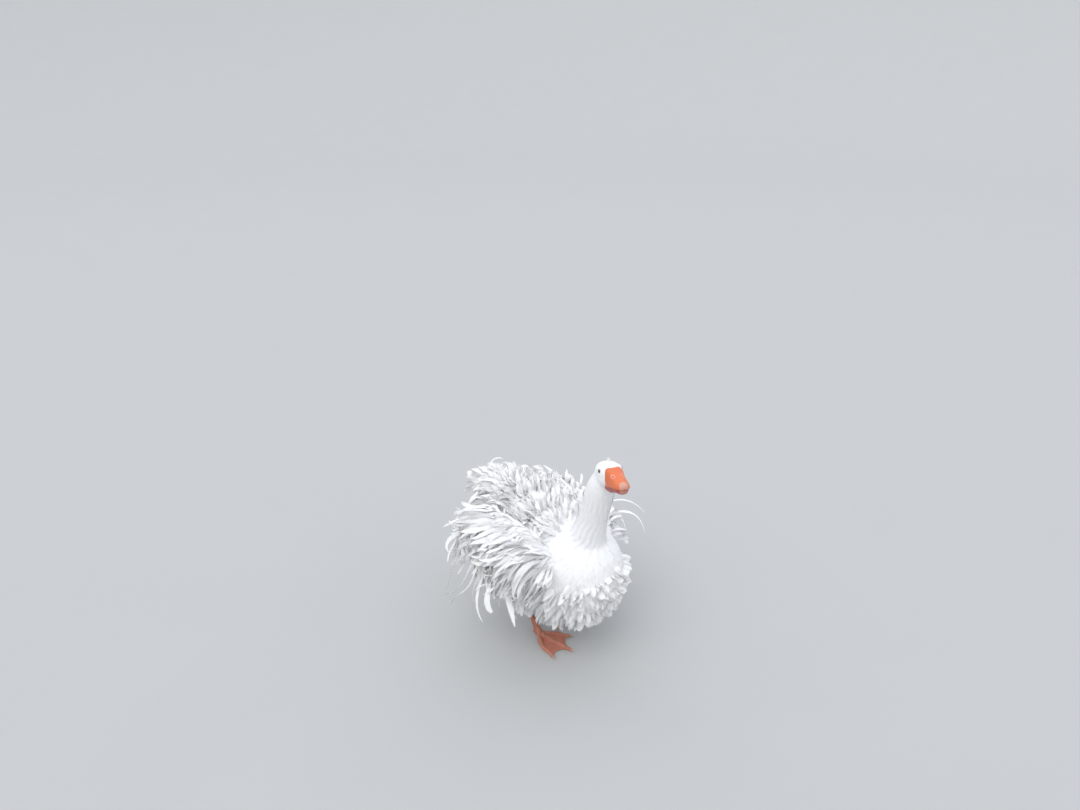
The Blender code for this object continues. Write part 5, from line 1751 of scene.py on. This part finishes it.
@dataclass
class Bill:
    """The two halves of the bill, as smooth lofts with a nail, nostrils and toothed edges."""

    root_y: float = -0.016
    face_share: float = 0.26
    length: float = 0.0725
    root_half_width: float = 0.0205
    tip_half_width: float = 0.0150
    root_top_z: float = 0.0205
    tip_top_z: float = -0.0045
    mouth_z: float = -0.0212
    mouth_rise: float = 0.0065
    grin: float = 0.0035
    lower_depth: float = 0.0120
    lower_taper: float = 0.55
    lower_follow: float = 0.85
    round_from: float = 0.80
    boxiness: float = 0.68
    root_square: float = 0.26
    corner_length: float = 0.07
    nail_half_width: float = 0.0112
    nostril: Point = (0.0112, -0.0535, 0.0066)
    nostril_size: Point = (0.0036, 0.0052, 0.0036)
    rings: int = 110
    arch: int = 70

    def out_share(self, s: Array) -> Array:
        """How far along the part that shows: 0 at the face, 1 at the nail."""
        return np.maximum(0.0, (s - self.face_share) / (1.0 - self.face_share))

    def half_width(self, s: Array) -> Array:
        """Half the bill's width."""
        width = self.root_half_width + (self.tip_half_width - self.root_half_width) * self.out_share(s)
        over = np.clip((s - self.round_from) / (1.0 - self.round_from), 0.0, 1.0)
        return width * np.sqrt(np.maximum(0.012, 1.0 - over**2.2))

    def mouth(self, s: Array) -> Array:
        """The height of the mouth line."""
        out = self.out_share(s)
        return self.mouth_z + self.mouth_rise * out + self.grin * np.sin(math.pi * out)

    def top(self, s: Array) -> Array:
        """The height of the bill's ridge."""
        return self.tip_top_z + (self.root_top_z - self.tip_top_z) * (1.0 - self.out_share(s)) ** 1.2

    def half(self, upper: bool, material: Material) -> Object:
        """Builds the upper or the lower half.

        Args:
            upper: Which half.
            material: Its finish.

        Returns:
            The object.
        """
        s = np.linspace(0.0, 1.0, self.rings) ** 0.9
        reach = s if upper else s * 0.965
        y = self.root_y - self.length * reach
        width = self.half_width(s) * (1.0 if upper else 0.90)
        mouth = self.mouth(reach) + (0.0003 if upper else -0.0003)
        chin = self.lower_depth * (1.0 - self.lower_taper * s**2)
        chin = chin + self.lower_follow * self.mouth_rise * self.out_share(s)
        depth = self.top(s) - mouth if upper else chin
        over = np.clip((s - 0.90) / 0.10, 0.0, 1.0)
        depth = depth * np.sqrt(1.0 - (0.55 if upper else 0.75) * over**2)
        angle = math.pi * (0.5 - 0.5 * np.cos(np.linspace(0.0, math.pi, self.arch)))
        out = self.out_share(s)
        power = (self.boxiness - self.root_square * upper * bell(out, 0.0, 0.35) + 0.12 * out)[:, None]
        x = np.sign(np.cos(angle)) * np.abs(np.cos(angle)) ** power * width[:, None]
        up = np.abs(np.sin(angle)) ** power * depth[:, None]
        local = np.stack([x, y[:, None] + 0.0 * x, mouth[:, None] + (up if upper else -up)], axis=-1)
        rim_share = np.clip(up / np.maximum(depth[:, None], 1e-6), 0.0, 1.0)
        corner = bell(out[:, None], 0.0, self.corner_length)
        if upper:
            corner = corner * (1.0 - eased(rim_share, 0.0, 0.42))
            local[..., 0] *= 1.0 - 0.13 * corner
            local[..., 2] += 0.0016 * corner
        else:
            local[..., 0] *= 1.0 - 0.09 * corner
        masks = self.masks(local, s, rim_share, upper)
        rings = HEAD_PLACE.out(self.shaped(local, s, rim_share, masks, upper))
        name = "bill_upper_skin" if upper else "bill_lower_skin"
        verts, faces = closed_loft(rings if upper else rings[:, ::-1])
        obj = mesh_of(name, verts, faces, material)
        for label, values in masks.items():
            values = values if upper else values[:, ::-1]
            caps = [values[0].mean()[None], values[-1].mean()[None]]
            set_values(obj, label, np.concatenate([values.ravel(), *caps]))
        obj.data.set_sharp_from_angle(angle=math.radians(55.0))
        unwrapped(obj)
        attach(obj, "root")
        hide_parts("bill_upper" if upper else "bill_lower")
        LOG.info("%s: %d rings of %d", name, self.rings, self.arch)
        return obj

    def masks(self, local: Array, s: Array, rim_share: Array, upper: bool) -> dict[str, Array]:
        """Where the nail, the nostril's rim and pit (the pit's mask also paints its shade), and the darker
        edge are, from 0 to 1.
        """
        out = self.out_share(s)[:, None]
        ahead = -local[..., 1] + self.root_y
        end, reach = self.length * 0.985, self.length * 0.165
        oval = np.sqrt((local[..., 0] / self.nail_half_width) ** 2 + ((ahead - end) / reach) ** 2)
        nail = (1.0 - eased(oval, 0.86, 1.02)) * eased(rim_share, 0.02, 0.22) * (ahead > self.length * 0.72)
        spot = np.concatenate([np.abs(local[..., :2]), local[..., 2:]], axis=-1)
        centre = np.array((self.nostril[0], -self.nostril[1], self.nostril[2]))
        far = np.linalg.norm((spot - centre) / np.array(self.nostril_size), axis=-1)
        # The nostril pit's mask presses the nostril in and also carries its painted shade.
        shaded_pit = (1.0 - eased(far, 0.30, 0.62)) * upper
        rim = bell(far, 1.0, 0.42) * upper * 0.75
        edge = (1.0 - eased(rim_share, 0.01, 0.10)) * eased(out + 0.0 * rim_share, 0.0, 0.1) * 0.75
        return {"nail": nail * (1.0 if upper else 0.6), "rim": rim, "shaded_pit": shaded_pit, "edge": edge}

    def shaped(self, local: Array, s: Array, rim_share: Array, masks: dict[str, Array], upper: bool) -> Array:
        """Presses the nostrils in, raises the nail and their rims, and cuts teeth along the mouth."""
        along, round_ = np.gradient(local, axis=0), np.gradient(local, axis=1)
        normal = unit(np.cross(round_, along))
        middle = local.mean(axis=1, keepdims=True)
        normal = normal * np.sign(((local - middle) * normal).sum(-1, keepdims=True))
        out = self.out_share(s)[:, None]
        depth = 0.0006 * masks["nail"] + 0.0007 * masks["rim"] - 0.0030 * masks["shaded_pit"]
        fold = 0.00030 * np.sin(150.0 * out + 2.0 * rim_share) * bell(out, 0.0, 0.10) * eased(out, 0.0, 0.04)
        lip = (1.0 - eased(rim_share, 0.0, 0.03)) * (out > 0.15) * (out < 0.82)
        teeth = 0.00022 * np.sin(260.0 * s)[:, None] * lip
        soft = upper * 0.0006 * np.sin(9.0 * s + 1.0)[:, None] * (1.0 - rim_share)
        return local + normal * (depth + fold + teeth + soft)[..., None]


# The eyes.


@dataclass
class Eyes:
    """Glossy eyes with an iris and pupil, and lids with a thick rim round an almond opening.

    A step of the lids is its angle outside the opening, its height in eye radii and how much it is rim.
    """

    radius: float = EYE_RADIUS
    rings: int = 34
    sides: int = 56
    opening: tuple[float, float] = (51.0, 40.0)
    sink: float = 0.0014
    lid_steps: tuple[Point, ...] = (
        (0.0, 0.985, 1.0), (-0.02, 1.02, 1.0), (0.02, 1.05, 0.9), (0.09, 1.065, 0.5),
        (0.22, 1.05, 0.15), (0.45, 1.04, 0.0), (0.75, 0.98, 0.0),
    )

    def frame(self, side: float) -> tuple[Array, Array, Array, Array]:
        """An eye's middle, and its ways out, ahead and up."""
        out = unit(HEAD_PLACE.turn @ np.array((side * 1.0, -0.10, 0.12)))
        ahead = HEAD_PLACE.turn @ np.array((0.0, -1.0, 0.0))
        ahead = unit(ahead - out * (ahead @ out))
        return eye_middle(side, self.sink), out, ahead, np.cross(out, ahead) * side

    def ways(self, side: float, polar: Array, turn: Array) -> Array:
        """Unit ways from an eye's middle: an angle off its outward way, and one round it."""
        _, out, ahead, up = self.frame(side)
        rim = np.cos(turn)[..., None] * ahead + np.sin(turn)[..., None] * up
        return np.cos(polar)[..., None] * out + np.sin(polar)[..., None] * rim

    def eye(self, name: str, side: float, material: Material) -> None:
        """One eyeball, with a raised cornea over the pupil."""
        polar = np.linspace(0.0, math.pi, self.rings)[1:-1, None]
        turn = (2.0 * math.pi * np.arange(self.sides) / self.sides)[None]
        bulge = 1.0 + 0.035 * bell(polar, 0.0, 0.62)
        points = self.frame(side)[0] + self.ways(side, polar, turn) * (self.radius * 0.995) * bulge[..., None]
        verts, faces = closed_loft(points if side < 0 else points[:, ::-1])
        obj = mesh_of("eyeball_" + name, verts, faces, material)
        pupil = 1.0 - eased(polar + 0.0 * turn, 0.34, 0.42)
        set_values(obj, "pupil", np.concatenate([pupil.ravel(), (1.0,), (0.0,)]))
        unwrapped(obj)
        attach(obj, "root")
        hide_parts("eye_" + name)

    def lid(self, name: str, side: float, material: Material) -> None:
        """The lids of one eye: a band over the eyeball with a rolled rim, sunk into the skin outside."""
        turn = 2.0 * math.pi * np.arange(self.sides) / self.sides
        wide, tall = (math.radians(a) for a in self.opening)
        open_at = 1.0 / np.sqrt((np.cos(turn) / wide) ** 2 + (np.sin(turn) / tall) ** 2)
        open_at = open_at * (1.0 + 0.10 * bell(turn, math.pi, 0.35))
        heavy = 0.5 + 0.5 * np.sin(turn)
        rows = []
        for shift, height, _ in self.lid_steps:
            fold = 1.0 + 0.03 * heavy * bell(shift, 0.26, 0.12)
            ring = self.ways(side, open_at + shift, turn)
            rows.append(self.frame(side)[0] + ring * (self.radius * height * fold)[:, None])
        faces = bands(len(rows), self.sides)
        if side > 0:
            faces = [(face[0], *face[:0:-1]) for face in faces]
        obj = mesh_of("lids_" + name, np.concatenate(rows), faces, material)
        set_values(obj, "rim", np.repeat([rim for *_, rim in self.lid_steps], self.sides))
        unwrapped(obj)
        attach(obj, "root")


# The legs.


@dataclass(frozen=True)
class Toe:
    """A toe: its angle from straight ahead, its length, its radius at the root and how far it bows."""

    name: str
    spread: float
    length: float
    radius: float
    bow: float


FRONT_TOES = (
    Toe("outer", -30.0, 0.093, 0.0064, 0.0085),
    Toe("middle", 0.0, 0.101, 0.0068, 0.0),
    Toe("inner", 31.0, 0.081, 0.0062, -0.0050),
)
HIND_TOE = Toe("hind", 160.0, 0.017, 0.0040, 0.0)
ALL_TOES = (*FRONT_TOES, HIND_TOE)


@dataclass
class Leg:
    """One bare leg: shank, ankle, webbed toes with scales and joints, and their claws."""

    name: str
    toe_in: float = 9.0
    tip_share: float = 0.62
    web_z: float = 0.0030
    web_half: float = 0.0012
    web_hollow: float = 0.11
    web_reach: float = 0.95
    claw_length: float = 0.012
    claw_radius: float = 0.0030
    claw_sides: int = 14
    toe_plate: float = 0.0030
    shank_plate: float = 0.0042
    voxel: float = 0.00095

    def way(self, spread: float) -> Array:
        """The level heading of a toe."""
        turn = -SIDES[self.name] * math.radians(spread + self.toe_in)
        return np.array((math.sin(turn), -math.cos(turn), 0.0))

    def toe_line(self, toe: Toe, s: Array) -> Array:
        """Points on the floor under a toe."""
        root, way = ankle(self.name), self.way(toe.spread)
        outward = np.array((SIDES[self.name], 0.0, 0.0))
        outward = unit(outward - way * (outward @ way))
        s = np.asarray(s)[..., None]
        bowed = outward * (toe.bow * np.sin(math.pi * s) ** 2)
        return np.array((root[0], root[1], 0.0)) + way * (toe.length * s) + bowed

    def toe_form(self, toe: Toe, start_z: float) -> Form:
        """A toe with a flat sole and swollen joints."""
        s = np.linspace(0.0, 1.0, 40)
        radius = toe.radius * (1.0 - (1.0 - self.tip_share) * s) * (1.0 + 0.10 * np.cos(6.0 * math.pi * s))
        height = radius * 0.86 + (start_z - radius) * np.maximum(0.0, 1.0 - 3.2 * s) ** 2
        line = self.toe_line(toe, s)
        line[:, 2] += height
        rings = tube(line, radius, 20, np.cross(self.way(toe.spread), UP), 0.95)
        rings[..., 2] = np.maximum(rings[..., 2], 0.0004)
        return closed_loft(rings)

    def web_form(self) -> Form:
        """The web between the front toes: a thin slab hollowed between their tips."""
        root = ankle(self.name) * np.array((1.0, 1.0, 0.0))
        outer, middle, inner = FRONT_TOES
        points = [root - self.way(0.0) * 0.004]
        points += [self.toe_line(outer, s) for s in (0.3, 0.5, 0.7, self.web_reach)]
        for first, second in ((outer, middle), (middle, inner)):
            a, b = (self.toe_line(toe, self.web_reach) for toe in (first, second))
            for t in np.linspace(0.0, 1.0, 17)[1:-1]:
                mid = a + (b - a) * t
                points.append(mid + (root - mid) * (self.web_hollow * 4.0 * t * (1.0 - t)))
            points.append(b)
        points += [self.toe_line(inner, s) for s in (0.7, 0.5, 0.3)]
        outline = np.array(points)
        levels = (self.web_z - self.web_half, self.web_z + self.web_half)
        rows = [np.stack([outline[:, 0], outline[:, 1], np.full(len(outline), z)], axis=-1) for z in levels]
        count = len(outline)
        faces: Faces = [tuple(range(count)), tuple(range(2 * count - 1, count - 1, -1))]
        faces += [(i, i + count, (i + 1) % count + count, (i + 1) % count) for i in range(count)]
        return np.concatenate(rows), faces

    def shank_form(self) -> Form:
        """The shank from the ankle up into the thigh's feathers, flattened from side to side."""
        root, knee = ankle(self.name), hock(self.name)
        t = np.linspace(-0.10, 1.06, 50)
        line = root + (knee - root) * t[:, None]
        t = np.clip(t, 0.0, 1.0)
        radius = SHANK_RADIUS * (0.92 + 0.50 * (1.0 - t) ** 5 + 0.25 * t**4 + 0.03 * np.sin(9.0 * t))
        return closed_loft(tube(line, radius, 28, SIDEWAYS, 1.06))

    def build(self, material: Material, horn: Material) -> None:
        """Builds the leg's skin and claws.

        Args:
            material: The scaled skin.
            horn: The claws' horn.
        """
        forms = [self.toe_form(toe, ANKLE_Z) for toe in FRONT_TOES]
        forms += [self.toe_form(HIND_TOE, 0.009), self.web_form(), self.shank_form()]
        obj = mesh_of("leg_skin_" + self.name, *joined(forms), material)
        remeshed(obj, self.voxel, 4)
        self.scale_skin(obj)
        unwrapped(obj)
        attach(obj, "root")
        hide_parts("shank_" + self.name, "foot_" + self.name)
        self.claws(horn)
        LOG.info("leg %s: %d faces", self.name, len(obj.data.polygons))

    def scale_skin(self, obj: Object) -> None:
        """Raises plates along the toes and the shank's front, small scales elsewhere, and creases the web."""
        points, normals = points_of(obj)
        ridge, plates = np.zeros(len(points)), np.zeros(len(points))
        for toe in FRONT_TOES:
            s = np.linspace(0.0, 1.0, 60)
            at, near = nearest_on(self.toe_line(toe, s)[:, :2], points[:, :2])
            on_top = (1.0 - eased(near, 0.0030, 0.0062)) * (normals[:, 2] > 0.1)
            wave = np.abs(np.sin(math.pi * s[at] * toe.length / self.toe_plate))
            plates = np.maximum(plates, on_top * (1.0 - wave) ** 3)
            ridge = np.maximum(ridge, on_top * (points[:, 2] > self.web_z + 0.0008))
        root, knee = ankle(self.name), hock(self.name)
        way = unit(knee - root)
        climb = (points - root) @ way
        on_shank = eased(climb, 0.010, 0.018)
        wave = np.abs(np.sin(math.pi * climb / self.shank_plate + 1.2 * np.sin(points[:, 0] * 300.0)))
        fore = eased(-normals[:, 1], 0.0, 0.5)
        plates = np.maximum(plates, on_shank * fore * (1.0 - wave) ** 3)
        cells = np.array([noise.voronoi(Vector(p) * 330.0)[0][:2] for p in points.tolist()])
        between = 1.0 - eased(cells[:, 1] - cells[:, 0], 0.02, 0.30)
        flat = eased(normals[:, 2], 0.5, 0.9) * (points[:, 2] < self.web_z + 0.003)
        folds = np.array([noise.noise(Vector((p[0] * 90.0, p[1] * 90.0, 3.0))) for p in points.tolist()])
        shift = -0.00030 * between * (1.0 - fore * on_shank) - 0.00045 * plates + 0.0007 * folds * flat
        shift = np.where(points[:, 2] < 0.0016, 0.0, shift)
        moved = points + normals * shift[:, None]
        moved[:, 2] = np.maximum(moved[:, 2], 0.0003)
        move_points(obj, moved)
        set_values(obj, "ridge", 0.45 * ridge)
        set_values(obj, "groove", np.clip(0.5 * plates + 0.25 * between, 0.0, 1.0))

    def claws(self, material: Material) -> None:
        """Hooked claws in front of the toes."""
        forms, along = [], []
        for toe in ALL_TOES:
            small = 0.65 if toe is HIND_TOE else 1.0
            length, radius = self.claw_length * small, self.claw_radius * small
            way = self.way(toe.spread)
            s = np.linspace(-0.28, 1.0, 16)
            line = self.toe_line(toe, np.ones(1)) + way * (length * s)[:, None]
            line[:, 2] = radius * (0.95 - 0.75 * np.clip(s, 0, 1) ** 1.6) + 0.0006
            size = radius * (1.0 - 0.86 * np.clip(s, 0, 1) ** 1.3) * np.where(s < -0.2, 0.6, 1.0)
            rings = tube(line, size, self.claw_sides, np.cross(way, UP), 1.1)
            rings[..., 2] = np.maximum(rings[..., 2], 0.0002)
            forms.append(closed_loft(rings))
            along.append(np.concatenate([np.repeat(np.clip(s, 0, 1), self.claw_sides), (0.0,), (1.0,)]))
        obj = mesh_of("claws_" + self.name, *joined(forms), material)
        set_values(obj, "along", np.concatenate(along))
        unwrapped(obj)
        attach(obj, "root")
        names = [f"claw_{self.name}_{toe.name}" for toe in ALL_TOES]
        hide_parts(*names)


# The studio.


@dataclass
class Studio:
    """A pale floor that sweeps up into a backdrop, soft daylight and the camera."""

    eye_height: float = 1.35
    side_shift: float = 0.0218
    distance: float = 1.695
    pitch: float = 23.5
    azimuth: float = -45.0
    lens: float = 27.03
    floor_half: float = 9.0
    sweep_radius: float = 10.0
    sweep_degrees: float = 75.0
    floor_sides: int = 96

    def camera(self) -> None:
        """Sets the camera where the photograph seems to have been taken from."""
        a = math.radians(self.azimuth)
        right, ahead = Vector((math.cos(a), math.sin(a), 0)), Vector((-math.sin(a), math.cos(a), 0))
        data = bpy.data.cameras.new("photo_camera")
        data.sensor_width, data.lens = 36.0, self.lens
        obj = bpy.data.objects.new("photo_camera", data)
        obj.location = -self.side_shift * right - self.distance * ahead + Vector(STANCE.tolist())
        obj.location.z = self.eye_height
        obj.rotation_euler = (math.radians(90.0 - self.pitch), 0.0, a)
        bpy.context.scene.collection.objects.link(obj)
        bpy.context.scene.camera = obj

    def floor(self, material: Material) -> None:
        """A round floor that curves up into a backdrop all round."""
        flat_rows, sweep_rows = 10, 24
        sweep = np.radians(np.linspace(0.0, self.sweep_degrees, sweep_rows + 1)[1:])
        out = self.floor_half + self.sweep_radius * np.sin(sweep)
        radius = np.concatenate([np.linspace(0.4, self.floor_half, flat_rows), out])
        height = np.concatenate([np.zeros(flat_rows), self.sweep_radius * (1.0 - np.cos(sweep))])
        count = self.floor_sides
        angle = 2.0 * math.pi * np.arange(count) / count
        flat = np.stack([np.cos(angle), np.sin(angle)], axis=-1)
        rows = [np.concatenate([flat * r, np.full((count, 1), h)], axis=1) for r, h in zip(radius, height)]
        faces = [tuple(range(count)), *bands(len(rows), count)]
        obj = mesh_of("studio_floor", np.concatenate(rows), faces, material)

    def lights(self) -> None:
        """Overcast daylight: an even pale sky, a wide soft sun at the left and a fainter one behind."""
        world = bpy.data.worlds.new("studio_sky")
        world.use_nodes = True
        world.node_tree.nodes["Background"].inputs["Color"].default_value = (0.88, 0.92, 1.0, 1.0)
        world.node_tree.nodes["Background"].inputs["Strength"].default_value = 1.12
        bpy.context.scene.world = world
        for name, tilt, turn, power, width, colour in (
            ("key_light", 38.0, -70.0, 1.05, 50.0, (1.0, 0.985, 0.96)),
            ("back_light", 50.0, 140.0, 0.40, 70.0, (0.95, 0.97, 1.0)),
        ):
            data = bpy.data.lights.new(name, "SUN")
            data.energy, data.angle, data.color = power, math.radians(width), colour
            obj = bpy.data.objects.new(name, data)
            obj.rotation_euler = (math.radians(tilt), 0.0, math.radians(turn))
            bpy.context.scene.collection.objects.link(obj)
        bpy.context.scene.view_settings.view_transform = "Standard"


def main() -> None:
    """Builds the goose piece by piece."""
    logging.basicConfig(level=logging.INFO, format="%(message)s")
    shared = {"mottle": mottle_group(), "cells": cells_group(), "barbs": barbs_group()}
    studio = Studio()
    studio.camera()
    studio.floor(StageFinish().material(shared))
    studio.lights()
    LOG.info("studio ready")

    skin = Skin(SkinFinish().material(shared))
    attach(skin.object, "root")
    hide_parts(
        "torso", "neck", "head", "tail", "wing_left", "wing_right", "thigh_left", "thigh_right"
    )
    LOG.info("skin: %d faces", len(skin.object.data.polygons))

    plumage = Plumage(skin, FeatherFinish().material(shared))
    plumage.small()
    for name, side in SIDES.items():
        plumage.wing(name, side)
    plumage.tail()
    plumage.trunk()
    plumage.strays()
    plumage.thighs()

    bill = Bill()
    bill.half(True, BillFinish("bill_orange", (0.74, 0.155, 0.065), (0.70, 0.20, 0.045)).material(shared))
    # The lower half is a darker copy of the bill's colour: partly its own rosier tone, partly painted shade
    # where it sits under the upper half.
    bill.half(False, BillFinish("bill_rose_and_shade", (0.44, 0.10, 0.085), (0.32, 0.055, 0.05)).material(shared))
    eyes = Eyes()
    eye_finish, lid_finish = EyeFinish().material(shared), LidFinish().material(shared)
    for name, side in SIDES.items():
        eyes.eye(name, side, eye_finish)
        eyes.lid(name, side, lid_finish)
    leg_finish, horn_finish = LegFinish().material(shared), HornFinish().material(shared)
    for name in SIDES:
        Leg(name).build(leg_finish, horn_finish)


if __name__ == "__main__":
    main()
